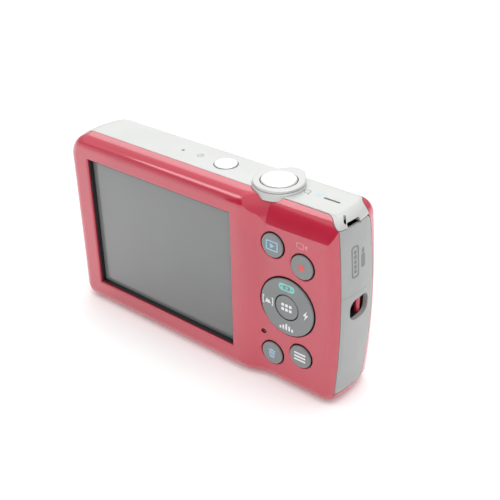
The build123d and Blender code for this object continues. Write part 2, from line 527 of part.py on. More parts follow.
strap_box_low = (STRAP_FLOOR_X - STRAP_WALL, STRAP_Y[0] - 0.6, STRAP_Z[0] - 0.6)
strap_box_high = (STRAP_RIM_X, STRAP_Y[1] + 0.6, STRAP_Z[1] + 0.6)
with BuildPart() as chassis:
    add(body_form(WALL + PLAY))
    add(body_form(WALL + PLAY + CHASSIS_WALL), mode=Mode.SUBTRACT)
    block((-FAR, -6.4, -1), (FAR, 6.6, HEIGHT), mode=Mode.INTERSECT)
    # Room for the door, the tripod socket, the top controls, the speaker, the notch, the port and the strap
    block((DOOR_X[0] - 0.9, DOOR_REAR_Y - 0.7, -1), (DOOR_X[1] + 0.9, 7.0, 5), mode=Mode.SUBTRACT)
    rod_z(TRIPOD_X, TRIPOD_Y, (-1, 5), TRIPOD_FLANGE_RADIUS + 0.1, mode=Mode.SUBTRACT)
    top_room = (HEIGHT - 6, HEIGHT)
    rod_z(SHUTTER_X, SHUTTER_Y, top_room, RETAINER_RADIUS + 0.8, mode=Mode.SUBTRACT)
    rod_z(POWER_X, POWER_Y, top_room, POWER_RADIUS + POWER_FLANGE + 0.5, mode=Mode.SUBTRACT)
    rod_z(MIC_X, TOP_HOLES_Y, top_room, MIC_RADIUS + 0.3, mode=Mode.SUBTRACT)
    block(
        Vector(*SPEAKER_LOW) - Vector(0.3, 0.3, 0),
        (SPEAKER_HIGH[0] + 0.3, SPEAKER_HIGH[1] + 0.3, HEIGHT),
        mode=Mode.SUBTRACT,
    )
    block((NOTCH_FLOOR_X, NOTCH_Y[0] - 0.8, 49.0), (FAR, NOTCH_Y[1] + 0.8, HEIGHT), mode=Mode.SUBTRACT)
    block(
        (PORT_X[0] - 1, PORT_Y[0] - 0.7, PORT_Z[0] - 0.8),
        (FAR, PORT_Y[1] + 0.7, PORT_Z[1] + 0.8),
        mode=Mode.SUBTRACT,
    )
    block(
        Vector(*strap_box_low) - Vector(1, 0.3, 0.3),
        Vector(*strap_box_high) + Vector(FAR, 0.3, 0.3),
        mode=Mode.SUBTRACT,
    )
    for x, y in BASE_SCREWS:
        rod_z(x, y, (0, 5), SCREW_RADIUS + 0.02, mode=Mode.SUBTRACT)
    for y, z in SIDE_SCREWS:
        rod_x(y, z, (-FAR, LENS_X), SCREW_RADIUS + 0.02, mode=Mode.SUBTRACT)
save(chassis, "chassis")


# Screen ---------------------------------------------------------------------------------------------
screen_face_y = BACK_Y + SCREEN_DEPTH
lcd_y = screen_face_y + WINDOW_THICKNESS + 0.07


def screen_block(margin, y_low, y_high, mode=Mode.ADD):
    """A slab behind the screen opening, larger than it by margin on each side."""
    return block(
        (SCREEN_LOW[0] - margin, y_low, SCREEN_LOW[1] - margin),
        (SCREEN_HIGH[0] + margin, y_high, SCREEN_HIGH[1] + margin),
        mode=mode,
    )


with BuildPart() as screen_bezel:
    screen_block(-0.03, BACK_Y + BEZEL_SINK, lcd_y)
    screen_block(-BEZEL, BACK_Y - 1, lcd_y + 1, mode=Mode.SUBTRACT)
save(screen_bezel, "screen_bezel")

with BuildPart() as screen_window:
    screen_block(-BEZEL - 0.04, screen_face_y, screen_face_y + WINDOW_THICKNESS)
save(screen_window, "screen_window")

with BuildPart() as lcd_panel:
    screen_block(LCD_MARGIN, lcd_y, lcd_y + LCD_THICKNESS)
save(lcd_panel, "lcd_panel")

with BuildPart() as backlight_tray:
    tray_margin = LCD_MARGIN + 0.05
    screen_block(tray_margin + TRAY_WALL, lcd_y, lcd_y + TRAY_DEPTH)
    screen_block(tray_margin, lcd_y - 1, lcd_y + LCD_THICKNESS + 0.05, mode=Mode.SUBTRACT)
save(backlight_tray, "backlight_tray")


# Keys on the back -----------------------------------------------------------------------------------
key_face_y = PANEL_Y - KEY_PROUD
flange_y = (PANEL_Y + WALL + 0.03, PANEL_Y + WALL + 0.5)
key_board_y = KEY_BOARD_LOW[1]


def key_body(x, z, radius, flange):
    """A round key: a cap through the panel, a flange behind it and a stem for its dome."""
    cap = rod_y(x, z, (key_face_y, flange_y[1]), radius)
    fillet(cap.edges().filter_by(GeomType.CIRCLE).sort_by(Axis.Y)[0], KEY_EDGE)
    rod_y(x, z, flange_y, flange)
    rod_y(x, z, (flange_y[1] - 0.1, key_board_y - DOME_HEIGHT - KEY_TRAVEL - 0.05), KEY_STEM)


for name, (x, z) in KEYS.items():
    with BuildPart() as key:
        key_body(x, z, KEY_RADIUS, KEY_RADIUS + KEY_FLANGE)
    save(key, name)

with BuildPart() as set_button:
    key_body(PAD_X, PAD_Z, SET_RADIUS, SET_RADIUS - 0.3)
save(set_button, "set_button")

with BuildPart() as control_pad:
    pad_cap = rod_y(PAD_X, PAD_Z, (key_face_y, flange_y[1] - 0.2), PAD_RADIUS)
    fillet(pad_cap.edges().filter_by(GeomType.CIRCLE).sort_by(Axis.Y)[0], KEY_RIM)
    rod_y(PAD_X, PAD_Z, (key_face_y - 1, 0), PAD_HOLE_RADIUS, mode=Mode.SUBTRACT)
save(control_pad, "control_pad")

with BuildPart() as pad_pivot:
    half_ring = PAD_PIVOT_THICKNESS / 2
    rod_y(PAD_X, PAD_Z, (PAD_PIVOT_Y - half_ring, PAD_PIVOT_Y + half_ring), PAD_PIVOT_RADIUS)
    rod_y(PAD_X, PAD_Z, (PAD_PIVOT_Y - 1, PAD_PIVOT_Y + 1), PAD_PIVOT_BORE, mode=Mode.SUBTRACT)
save(pad_pivot, "pad_pivot")

with BuildPart() as key_board:
    block(KEY_BOARD_LOW, KEY_BOARD_HIGH)
save(key_board, "key_board")

dome_places = [*KEYS.values(), (PAD_X, PAD_Z)]
dome_places += [on_circle(PAD_X, PAD_Z, PAD_DOME_REACH, quarter * pi / 2) for quarter in range(4)]
with BuildPart() as key_domes:
    for x, z in dome_places:
        rod_y(x, z, (key_board_y - DOME_HEIGHT + 0.05, key_board_y), DOME_RADIUS)
        rod_y(x, z, (key_board_y - DOME_HEIGHT, key_board_y), DOME_TOP_RADIUS)
save(key_domes, "key_domes")

with BuildPart() as status_lamp:
    lamp_foot_y = key_board_y - 0.5
    rod_y(LAMP_X, LAMP_Z, (PANEL_Y + 0.05, lamp_foot_y), LAMP_RADIUS)
    rod_y(LAMP_X, LAMP_Z, (PANEL_Y + WALL + 0.05, lamp_foot_y), LAMP_FLANGE)
save(status_lamp, "status_lamp")


# Controls on the top --------------------------------------------------------------------------------
def lever_outline():
    """The zoom lever seen from above: a ring that runs into a rounded tab towards the front."""
    with BuildSketch(Plane.XY.offset(LEVER_Z[0])) as outline:
        with Locations((SHUTTER_X, SHUTTER_Y)):
            Circle(LEVER_RADIUS)
        with Locations((SHUTTER_X, LEVER_TAB_Y)):
            Circle(LEVER_TAB_RADIUS)
        make_hull()
    return outline.sketch


with BuildPart() as zoom_lever:
    add(lever_outline())
    extrude(amount=LEVER_Z[1] - LEVER_Z[0])
    fillet(zoom_lever.faces().sort_by(Axis.Z)[-1].edges(), 0.3)
    for groove in range(GRIP_GROOVES):
        angle = pi / 2 + (groove - GRIP_GROOVES // 2) * GRIP_STEP
        grip = on_circle(SHUTTER_X, LEVER_TAB_Y, LEVER_TAB_RADIUS + GRIP_RADIUS / 2, angle)
        rod_z(*grip, THROUGH_TOP, GRIP_RADIUS, mode=Mode.SUBTRACT)
    # Cup that the shutter button sinks into, and the hub below it
    rod_z(SHUTTER_X, SHUTTER_Y, (LEVER_CUP_Z, LEVER_Z[0] + 0.1), LEVER_CUP_RADIUS)
    cup_floor_z = LEVER_CUP_Z + LEVER_FLOOR
    rod_z(SHUTTER_X, SHUTTER_Y, (cup_floor_z, THROUGH_TOP[1]), SHUTTER_RADIUS + 0.22, mode=Mode.SUBTRACT)
    rod_z(SHUTTER_X, SHUTTER_Y, (LEVER_HUB_Z, cup_floor_z), LEVER_HUB_RADIUS)
    rod_z(SHUTTER_X, SHUTTER_Y, (HEIGHT - 5, HEIGHT + 2), LEVER_BORE, mode=Mode.SUBTRACT)
save(zoom_lever, "zoom_lever")

with BuildPart() as lever_retainer:
    rod_z(SHUTTER_X, SHUTTER_Y, (LEVER_HUB_Z - RETAINER_THICKNESS, LEVER_HUB_Z), RETAINER_RADIUS)
    rod_z(SHUTTER_X, SHUTTER_Y, (HEIGHT - 5, HEIGHT), LEVER_BORE, mode=Mode.SUBTRACT)
save(lever_retainer, "lever_retainer")

with BuildPart() as shutter_button:
    rod_z(SHUTTER_X, SHUTTER_Y, SHUTTER_Z, SHUTTER_RADIUS)
    fillet(shutter_button.edges().filter_by(GeomType.CIRCLE).sort_by(Axis.Z)[-1], 0.45)
    rod_z(SHUTTER_X, SHUTTER_Y, (STEM_FOOT_Z, SHUTTER_Z[0] + 0.2), SHUTTER_STEM)
save(shutter_button, "shutter_button")

with BuildPart() as power_button:
    rod_z(POWER_X, POWER_Y, (LEVER_HUB_Z, HEIGHT + POWER_PROUD), POWER_RADIUS)
    fillet(power_button.edges().filter_by(GeomType.CIRCLE).sort_by(Axis.Z)[-1], 0.3)
    rod_z(POWER_X, POWER_Y, (LEVER_HUB_Z, HEIGHT - WALL - 0.03), POWER_RADIUS + POWER_FLANGE)
    rod_z(POWER_X, POWER_Y, (STEM_FOOT_Z, LEVER_HUB_Z + 0.1), POWER_STEM)
save(power_button, "power_button")

with BuildPart() as top_board:
    block(TOP_BOARD_LOW, TOP_BOARD_HIGH)
    switches = (
        (POWER_X, POWER_Y, (2.0, 1.8), POWER_TRAVEL),
        (SHUTTER_X, SHUTTER_Y, (2.6, 2.6), SHUTTER_TRAVEL),
    )
    for x, y, half, travel in switches:
        switch_top = STEM_FOOT_Z - travel - 0.1
        block((x - half[0], y - half[1], TOP_BOARD_HIGH[2]), (x + half[0], y + half[1], switch_top))
save(top_board, "top_board")

with BuildPart() as speaker:
    block(SPEAKER_LOW, SPEAKER_HIGH)
    rod_z(SPEAKER_X, TOP_HOLES_Y, (SPEAKER_HIGH[2], SPEAKER_TOP_Z), SPEAKER_RADIUS)
save(speaker, "speaker")

with BuildPart() as microphone:
    rod_z(MIC_X, TOP_HOLES_Y, (THROUGH_TOP[0], HEIGHT - WALL - 0.1), MIC_RADIUS)
save(microphone, "microphone")


# Lens -----------------------------------------------------------------------------------------------
def lens_rod(span, radius, mode=Mode.ADD):
    """A cylinder about the lens axis."""
    return rod_y(LENS_X, LENS_Z, span, radius, mode=mode)


def lens_tube(span, bore, radius):
    """A tube about the lens axis."""
    lens_rod(span, radius)
    lens_rod((span[0] - 1, span[1] + 1), bore, mode=Mode.SUBTRACT)


def gear_outline(x, z, teeth, first_tooth):
    """A spur gear's outline in XZ. first_tooth is the angle of one tooth's middle."""
    pitch = GEAR_MODULE * teeth / 2
    tip, root = pitch + 0.8 * GEAR_MODULE, pitch - 1.1 * GEAR_MODULE
    half_tooth = 0.5 * pi / teeth - GEAR_SLACK / pitch
    lean = 0.32 * GEAR_MODULE / pitch
    points = []
    for tooth in range(teeth):
        middle = first_tooth + tooth * 2 * pi / teeth
        for radius, angle in (
            (root, -half_tooth - lean),
            (tip, -half_tooth + lean),
            (tip, half_tooth - lean),
            (root, half_tooth + lean),
        ):
            points.append(on_circle(x, z, radius, middle + angle))
    with BuildSketch(plane_at_y(GEAR_Y[1])) as outline:
        with BuildLine():
            Polyline(*points, close=True)
        make_face()
    return outline.sketch


gear_width = GEAR_Y[1] - GEAR_Y[0]
ring_pitch = GEAR_MODULE * RING_TEETH / 2
idler_distance = ring_pitch + GEAR_MODULE * IDLER_TEETH / 2 + GEAR_SLACK
pinion_distance = idler_distance + GEAR_MODULE * (IDLER_TEETH + PINION_TEETH) / 2 + GEAR_SLACK
IDLER = on_circle(LENS_X, LENS_Z, idler_distance, GEAR_ANGLE)
PINION = on_circle(LENS_X, LENS_Z, pinion_distance, GEAR_ANGLE)

with BuildPart() as lens_housing:
    floor_y = HOUSING_Y[0] + HOUSING_FLOOR
    lens_rod(HOUSING_Y, HOUSING_RADIUS)
    with BuildSketch(plane_at_y(floor_y)):
        with Locations((LENS_X, LENS_Z)):
            Circle(HOUSING_RADIUS)
        with Locations(PINION):
            Circle(MOTOR_RADIUS + 0.6)
        make_hull()
    extrude(amount=HOUSING_FLOOR)
    lens_rod((floor_y, FAR), HOUSING_BORE, mode=Mode.SUBTRACT)
    rod_y(*IDLER, (floor_y, GEAR_Y[1] + 0.4), IDLER_WELL_RADIUS, mode=Mode.SUBTRACT)
    rod_y(*IDLER, (floor_y - 0.05, GEAR_Y[1] + 0.3), IDLER_SPINDLE_RADIUS)
    sensor_x, sensor_z = SENSOR_HALF[0] + 0.2, SENSOR_HALF[1] + 0.2
    block(
        (LENS_X - sensor_x, HOUSING_Y[0] - 1, LENS_Z - sensor_z),
        (LENS_X + sensor_x, floor_y + 1, LENS_Z + sensor_z),
        mode=Mode.SUBTRACT,
    )
save(lens_housing, "lens_housing")

with BuildPart() as lens_trim_ring:
    trim_back_y, lip_radius = FRONT_Y + 0.03, HOUSING_RADIUS + 0.05
    with BuildSketch(Plane.XY.move(Location((LENS_X, 0, LENS_Z)))):
        with BuildLine():
            Polyline(
                (TRIM_BORE, HOUSING_Y[1] + 0.05),
                (lip_radius, HOUSING_Y[1] + 0.05),
                (lip_radius, trim_back_y),
                (TRIM_RADIUS, trim_back_y),
                (TRIM_RADIUS, trim_back_y + 0.5),
                (TRIM_RADIUS - 1.3, LENS_FACE_Y),
                (TRIM_BORE + 1.0, LENS_FACE_Y),
                (TRIM_BORE, LENS_FACE_Y - 0.5),
                close=True,
            )
        make_face()
    revolve(axis=Axis((LENS_X, 0, LENS_Z), (0, 1, 0)))
    fillet(lens_trim_ring.edges().filter_by_position(Axis.Y, LENS_FACE_Y - 0.01, LENS_FACE_Y + 0.01), 0.2)
save(lens_trim_ring, "lens_trim_ring")

with BuildPart() as zoom_ring:
    lens_rod(ZOOM_RING_Y, ZOOM_RING_RADIUS)
    extrude(gear_outline(LENS_X, LENS_Z, RING_TEETH, GEAR_ANGLE + pi / RING_TEETH), amount=gear_width)
    lens_rod((-FAR, FAR), ZOOM_RING_BORE, mode=Mode.SUBTRACT)
save(zoom_ring, "zoom_ring")

with BuildPart() as idler_gear:
    extrude(gear_outline(*IDLER, IDLER_TEETH, GEAR_ANGLE), amount=gear_width)
    rod_y(*IDLER, (-FAR, FAR), IDLER_SPINDLE_RADIUS + 0.05, mode=Mode.SUBTRACT)
save(idler_gear, "idler_gear")

with BuildPart() as motor_pinion:
    extrude(gear_outline(*PINION, PINION_TEETH, GEAR_ANGLE + pi + pi / PINION_TEETH), amount=gear_width)
    rod_y(*PINION, (GEAR_Y[0], 0.5), PINION_SHAFT_RADIUS)
save(motor_pinion, "motor_pinion")

with BuildPart() as zoom_motor:
    rod_y(*PINION, MOTOR_Y, MOTOR_RADIUS)
    rod_y(*PINION, (MOTOR_Y[0] - 0.2, MOTOR_Y[0]), MOTOR_BOSS_RADIUS)
    rod_y(*PINION, (MOTOR_Y[0] - 1, 0.8), PINION_SHAFT_RADIUS + 0.06, mode=Mode.SUBTRACT)
    chamfer(zoom_motor.edges().filter_by(GeomType.CIRCLE).sort_by(Axis.Y)[-1], 0.4)
save(zoom_motor, "zoom_motor")

with BuildPart() as outer_barrel:
    barrel_rear_y, barrel_front_y = OUTER_BARREL_Y
    lens_tube(OUTER_BARREL_Y, *OUTER_BARREL)
    lens_rod((barrel_rear_y, barrel_rear_y + 0.8), OUTER_BARREL[0] + 0.5)
    lens_rod((-FAR, 0), REAR_LENS_RADIUS + 0.03, mode=Mode.SUBTRACT)
    fillet(outer_barrel.edges().filter_by_position(Axis.Y, barrel_front_y - 0.01, barrel_front_y + 0.01), 0.2)
save(outer_barrel, "outer_barrel")

with BuildPart() as rear_lens:
    lens_rod((barrel_rear_y + 0.1, barrel_rear_y + 1.2), REAR_LENS_RADIUS)
save(rear_lens, "rear_lens")

blade_pivots = {
    "barrier_blade_upper": (LENS_X + BLADE_PIVOT[0], LENS_Z + BLADE_PIVOT[1]),
    "barrier_blade_lower": (LENS_X - BLADE_PIVOT[0], LENS_Z - BLADE_PIVOT[1]),
}

with BuildPart() as inner_barrel:
    inner_front_y = INNER_BARREL_Y[1]
    cell_radius = INNER_BARREL[0] + 0.5
    lens_tube(INNER_BARREL_Y, *INNER_BARREL)
    lens_rod((inner_front_y - FRONT_PLATE, inner_front_y), cell_radius)
    fillet(inner_barrel.edges().filter_by_position(Axis.Y, inner_front_y - 0.01, inner_front_y + 0.01), 0.3)
    with Locations(Location((LENS_X, inner_front_y, LENS_Z), (-90, 0, 0))):
        Cone(
            APERTURE_RADIUS,
            APERTURE_RADIUS + APERTURE_FLARE,
            0.75 * FRONT_PLATE,
            align=(Align.CENTER, Align.CENTER, Align.MAX),
            mode=Mode.SUBTRACT,
        )
    lens_rod((inner_front_y - 1.4 * FRONT_PLATE, FAR), APERTURE_RADIUS, mode=Mode.SUBTRACT)
    # Cell that holds the front lens, with the pins the barrier blades turn on
    lens_rod(LENS_CELL_Y, cell_radius)
    lens_rod((LENS_CELL_Y[0] - 0.2, LENS_CELL_Y[1] + 0.1), LENS_CELL_BORE, mode=Mode.SUBTRACT)
    for pivot in blade_pivots.values():
        rod_y(*pivot, (LENS_CELL_Y[1] - 0.1, inner_front_y - FRONT_PLATE + 0.05), BLADE_PIN_RADIUS)
save(inner_barrel, "inner_barrel")

with BuildPart() as front_lens:
    lens_rod((LENS_CELL_Y[0] + 0.4, LENS_CELL_Y[1] - 1.0), FRONT_LENS_RADIUS)
    fillet(front_lens.edges().filter_by(GeomType.CIRCLE).sort_by(Axis.Y)[-1], 1.4)
save(front_lens, "front_lens")

# Each blade is half of a disc over the aperture, on an arm to its pivot. They lie one in front of the other.
for name, (x, z) in blade_pivots.items():
    side = 1 if name.endswith("upper") else -1
    layer = BLADE_LAYERS[name]
    with BuildPart() as blade:
        with BuildSketch(plane_at_y(layer[1])):
            with Locations((LENS_X, LENS_Z)):
                Circle(APERTURE_RADIUS + 0.6)
            with Locations((x, z)):
                Circle(BLADE_HUB_RADIUS)
            make_hull()
            with Locations((LENS_X, LENS_Z - side * FAR / 2)):
                Rectangle(11, FAR, mode=Mode.SUBTRACT)
            with Locations((LENS_X + side * 8.0, LENS_Z - side * FAR / 2)):
                Rectangle(5.2, FAR, mode=Mode.SUBTRACT)
            with Locations((x, z)):
                Circle(BLADE_PIN_RADIUS + 0.05, mode=Mode.SUBTRACT)
        extrude(amount=layer[1] - layer[0])
    save(blade, name)

with BuildPart() as image_sensor:
    half_x, half_z = SENSOR_HALF
    block((LENS_X - half_x, SENSOR_Y[0], LENS_Z - half_z), (LENS_X + half_x, SENSOR_Y[1], LENS_Z + half_z))
save(image_sensor, "image_sensor")

with BuildPart() as sensor_board:
    half_x, half_z = SENSOR_BOARD_HALF
    low_y, high_y = SENSOR_BOARD_Y
    block((LENS_X - half_x, low_y, LENS_Z - half_z), (LENS_X + half_x, high_y, LENS_Z + half_z))
save(sensor_board, "sensor_board")


# Boards and power -----------------------------------------------------------------------------------
with BuildPart() as main_board:
    block(MAIN_BOARD_LOW, MAIN_BOARD_HIGH)
    chip_y = (MAIN_BOARD_HIGH[1], MAIN_BOARD_HIGH[1] + CHIP_HEIGHT)
    for (x, z), (wide, tall) in CHIPS:
        block((x - wide / 2, chip_y[0], z - tall / 2), (x + wide / 2, chip_y[1], z + tall / 2))
save(main_board, "main_board")

battery_low = Vector(*BATTERY_LOW)
battery_high = battery_low + Vector(*BATTERY_SIZE)
with BuildPart() as battery:
    block(battery_low, battery_high)
    fillet(battery.edges().filter_by(Axis.Z), BATTERY_CORNER)
save(battery, "battery")

with BuildPart() as battery_box:
    box_edge = BATTERY_PLAY + BATTERY_BOX_WALL
    block(
        (battery_low.X - box_edge, battery_low.Y - box_edge, BATTERY_BOX_LOW_Z),
        (battery_high.X + box_edge, battery_high.Y + box_edge, battery_high.Z + box_edge + 1.0),
    )
    block(
        (battery_low.X - BATTERY_PLAY, battery_low.Y - BATTERY_PLAY, 0),
        (battery_high.X + BATTERY_PLAY, battery_high.Y + BATTERY_PLAY, battery_high.Z + 1.0),
        mode=Mode.SUBTRACT,
    )
    for contact in range(CONTACTS):
        x = battery_high.X - 4.0 - CONTACT_PITCH * contact
        block(
            (x, CONTACT_Y[0], battery_high.Z + 0.05),
            (x + CONTACT_WIDTH, CONTACT_Y[1], battery_high.Z + 1.05),
        )
save(battery_box, "battery_box")

card_low = Vector(*CARD_LOW)
card_high = card_low + Vector(*CARD_SIZE)
with BuildPart() as memory_card:
    block(card_low, card_high)
    corners = memory_card.edges().filter_by(Axis.Y)
    chamfer(corners.sort_by(lambda e: e.center().X + e.center().Z)[-1], CARD_CORNER)
save(memory_card, "memory_card")

with BuildPart() as card_slot:
    play_x, play_y = SLOT_PLAY
    edge_x, edge_y = play_x + SLOT_WALL[0], play_y + SLOT_WALL[1]
    block(
        (card_low.X - edge_x, card_low.Y - edge_y, SLOT_Z[0]),
        (card_high.X + edge_x, card_high.Y + edge_y, SLOT_Z[1]),
    )
    block(
        (card_low.X - play_x, card_low.Y - play_y, 0),
        (card_high.X + play_x, card_high.Y + play_y, SLOT_Z[1] - 0.4),
        mode=Mode.SUBTRACT,
    )
save(card_slot, "card_slot")

with BuildPart() as battery_door:
    block((DOOR_X[0], DOOR_REAR_Y, DOOR_Z[0]), (DOOR_X[1], DOOR_HINGE_Y, DOOR_Z[1]))
    fillet(battery_door.edges().filter_by(Axis.Z).group_by(Axis.Y)[0], 1.0)
    rod_x(DOOR_HINGE_Y, DOOR_HINGE_Z, DOOR_X, DOOR_EDGE_RADIUS)
    rod_x(DOOR_HINGE_Y, DOOR_HINGE_Z, (-FAR, FAR), DOOR_PIN_RADIUS + 0.05, mode=Mode.SUBTRACT)
    # Recess for the latch, and a stiffening rib inside
    half_x, half_y = LATCH_HALF
    block(
        (LATCH_X - half_x - LATCH_TRAVEL - LATCH_GAP, LATCH_Y - half_y - LATCH_GAP, -1),
        (LATCH_X + half_x + LATCH_GAP, LATCH_Y + half_y + LATCH_GAP, LATCH_Z[1] + 0.05),
        mode=Mode.SUBTRACT,
    )
    block(
        (DOOR_X[0] + 2, DOOR_RIB_Y[0], DOOR_Z[1]),
        (DOOR_X[1] - 2, DOOR_RIB_Y[1], DOOR_Z[1] + DOOR_RIB_HEIGHT),
    )
save(battery_door, "battery_door")

with BuildPart() as door_latch:
    block((LATCH_X - half_x, LATCH_Y - half_y, LATCH_Z[0]), (LATCH_X + half_x, LATCH_Y + half_y, LATCH_Z[1]))
    groove_width, groove_length, groove_top = LATCH_GROOVE
    for groove in range(LATCH_GROOVES):
        x = LATCH_X + (groove - LATCH_GROOVES // 2) * LATCH_GROOVE_PITCH
        block(
            (x - groove_width / 2, LATCH_Y - groove_length / 2, 0),
            (x + groove_width / 2, LATCH_Y + groove_length / 2, groove_top),
            mode=Mode.SUBTRACT,
        )
save(door_latch, "door_latch")

with BuildPart() as door_hinge_pin:
    pin_x = (DOOR_X[0] - DOOR_PIN_REACH, DOOR_X[1] + DOOR_PIN_REACH)
    rod_x(DOOR_HINGE_Y, DOOR_HINGE_Z, pin_x, DOOR_PIN_RADIUS)
save(door_hinge_pin, "door_hinge_pin")


# Base, side and flash -------------------------------------------------------------------------------
with BuildPart() as tripod_socket:
    thread_top_z = TRIPOD_Z + TRIPOD_DEPTH
    rod_z(TRIPOD_X, TRIPOD_Y, (TRIPOD_Z, thread_top_z + 1.0), TRIPOD_INSERT_RADIUS)
    rod_z(TRIPOD_X, TRIPOD_Y, (WALL + 0.05, WALL + 1.1), TRIPOD_FLANGE_RADIUS)
    rod_z(TRIPOD_X, TRIPOD_Y, (THROUGH_BASE[0], thread_top_z), TRIPOD_RADIUS, mode=Mode.SUBTRACT)
save(tripod_socket, "tripod_socket")

bar_z = (STRAP_Z[0] - STRAP_BAR_REACH, STRAP_Z[1] + STRAP_BAR_REACH)
bar_hole = STRAP_BAR_RADIUS + 0.02
with BuildPart() as strap_recess:
    block(strap_box_low, strap_box_high)
    block((STRAP_FLOOR_X, STRAP_Y[0], STRAP_Z[0]), (FAR, STRAP_Y[1], STRAP_Z[1]), mode=Mode.SUBTRACT)
    # Notches in the rim that the ends of the bar drop into
    rod_z(STRAP_BAR_X, STRAP_BAR_Y, (bar_z[0] - 0.05, bar_z[1] + 0.05), bar_hole, mode=Mode.SUBTRACT)
    block(
        (STRAP_BAR_X, STRAP_BAR_Y - bar_hole, bar_z[0] - 0.05),
        (FAR, STRAP_BAR_Y + bar_hole, bar_z[1] + 0.05),
        mode=Mode.SUBTRACT,
    )
save(strap_recess, "strap_recess")

with BuildPart() as strap_bar:
    rod_z(STRAP_BAR_X, STRAP_BAR_Y, bar_z, STRAP_BAR_RADIUS)
save(strap_bar, "strap_bar")

with BuildPart() as terminal_port:
    block(
        (PORT_X[0], PORT_Y[0] - PORT_WALL, PORT_Z[0] - PORT_WALL),
        (PORT_X[1], PORT_Y[1] + PORT_WALL, PORT_Z[1] + PORT_WALL),
    )
    block((PORT_FLOOR_X, PORT_Y[0], PORT_Z[0]), (FAR, PORT_Y[1], PORT_Z[1]), mode=Mode.SUBTRACT)
    block(
        (PORT_FLOOR_X - 0.2, plug_y - PORT_TONGUE, PORT_Z[0] + 1),
        (PORT_TONGUE_X, plug_y + PORT_TONGUE, PORT_Z[1] - 1),
    )
save(terminal_port, "terminal_port")

with BuildPart() as flash_window:
    with BuildSketch(plane_at_y(FRONT_Y + WINDOW_PROUD)):
        with Locations((FLASH_X, FLASH_Z)):
            RectangleRounded(*FLASH_SIZE, FLASH_CORNER)
    extrude(amount=FLASH_WINDOW_THICKNESS)
save(flash_window, "flash_window")

with BuildPart() as flash_reflector:
    half_x, half_z = REFLECTOR_HALF
    block(
        (FLASH_X - half_x, REFLECTOR_Y[0], FLASH_Z - half_z),
        (FLASH_X + half_x, REFLECTOR_Y[1], FLASH_Z + half_z),
    )
    bowl_x, bowl_z = REFLECTOR_BOWL_HALF
    shoulder_y, shoulder_z = BOWL_SHOULDER
    with BuildSketch(Plane.YZ.offset(FLASH_X - bowl_x)):
        with BuildLine():
            bowl = Spline(
                (BOWL_Y[1], FLASH_Z - bowl_z),
                (shoulder_y, FLASH_Z - shoulder_z),
                (BOWL_Y[0], FLASH_Z),
                (shoulder_y, FLASH_Z + shoulder_z),
                (BOWL_Y[1], FLASH_Z + bowl_z),
            )
            Line(bowl @ 1, bowl @ 0)
        make_face()
    extrude(amount=2 * bowl_x, mode=Mode.SUBTRACT)
save(flash_reflector, "flash_reflector")

with BuildPart() as flash_tube:
    rod_x(TUBE_Y, FLASH_Z, (FLASH_X - TUBE_HALF, FLASH_X + TUBE_HALF), TUBE_RADIUS)
save(flash_tube, "flash_tube")

with BuildPart() as flash_capacitor:
    rod_z(*CAPACITOR_PLACE, CAPACITOR_Z, CAPACITOR_RADIUS)
    fillet(flash_capacitor.edges().filter_by(GeomType.CIRCLE), 0.5)
save(flash_capacitor, "flash_capacitor")

with BuildPart() as af_lamp:
    rod_y(AF_LAMP_X, AF_LAMP_Z, (FRONT_Y - AF_LAMP_DEPTH, FRONT_Y + WINDOW_PROUD), AF_LAMP_RADIUS)
    fillet(af_lamp.edges().filter_by(GeomType.CIRCLE).sort_by(Axis.Y)[-1], 0.3)
save(af_lamp, "af_lamp")


def screw_body(head_plane):
    """A small cross-head screw whose head faces against the plane's normal."""
    with BuildPart(head_plane) as screw:
        with Locations((0, 0, SCREW_HEAD_HEIGHT / 2)):
            Cylinder(SCREW_HEAD_RADIUS, SCREW_HEAD_HEIGHT)
        with Locations((0, 0, (SCREW_HEAD_HEIGHT + SCREW_LENGTH) / 2)):
            Cylinder(SCREW_RADIUS, SCREW_LENGTH)
        long, narrow = SCREW_SLOT
        Box(long, narrow, SCREW_HEAD_HEIGHT, mode=Mode.SUBTRACT)
        Box(narrow, long, SCREW_HEAD_HEIGHT, mode=Mode.SUBTRACT)
    return screw.part


with BuildPart() as base_screws:
    for x, y in BASE_SCREWS:
        add(screw_body(Plane((x, y, SCREW_SEAT_DEPTH - SCREW_HEAD_HEIGHT - 0.03))))
save(base_screws, "base_screws")

with BuildPart() as side_screws:
    for y, z in SIDE_SCREWS:
        add(screw_body(Plane((SCREW_SEAT_DEPTH - SCREW_HEAD_HEIGHT - WIDTH / 2, y, z), z_dir=(1, 0, 0))))
save(side_screws, "side_screws")
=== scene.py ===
"""The looks of the compact digital camera around its CAD frame: materials, fine pieces and light."""

import json
from math import ceil, cos, pi, radians, sin, tau

import bmesh
import bpy
from mathutils import Matrix, Vector
from mathutils.bvhtree import BVHTree


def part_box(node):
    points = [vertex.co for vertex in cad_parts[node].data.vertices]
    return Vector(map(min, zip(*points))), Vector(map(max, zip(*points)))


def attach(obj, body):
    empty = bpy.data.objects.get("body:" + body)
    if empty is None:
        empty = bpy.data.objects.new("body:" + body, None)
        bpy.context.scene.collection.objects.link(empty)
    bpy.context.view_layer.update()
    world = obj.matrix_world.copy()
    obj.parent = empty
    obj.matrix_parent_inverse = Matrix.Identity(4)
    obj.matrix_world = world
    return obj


MM = 0.001
# How far the round platform under the zoom lever stands out of the top cover
PLATFORM_HEIGHT = 0.6 * MM
# How far the keys stand out of the back panel
KEY_PROUD = 0.45 * MM

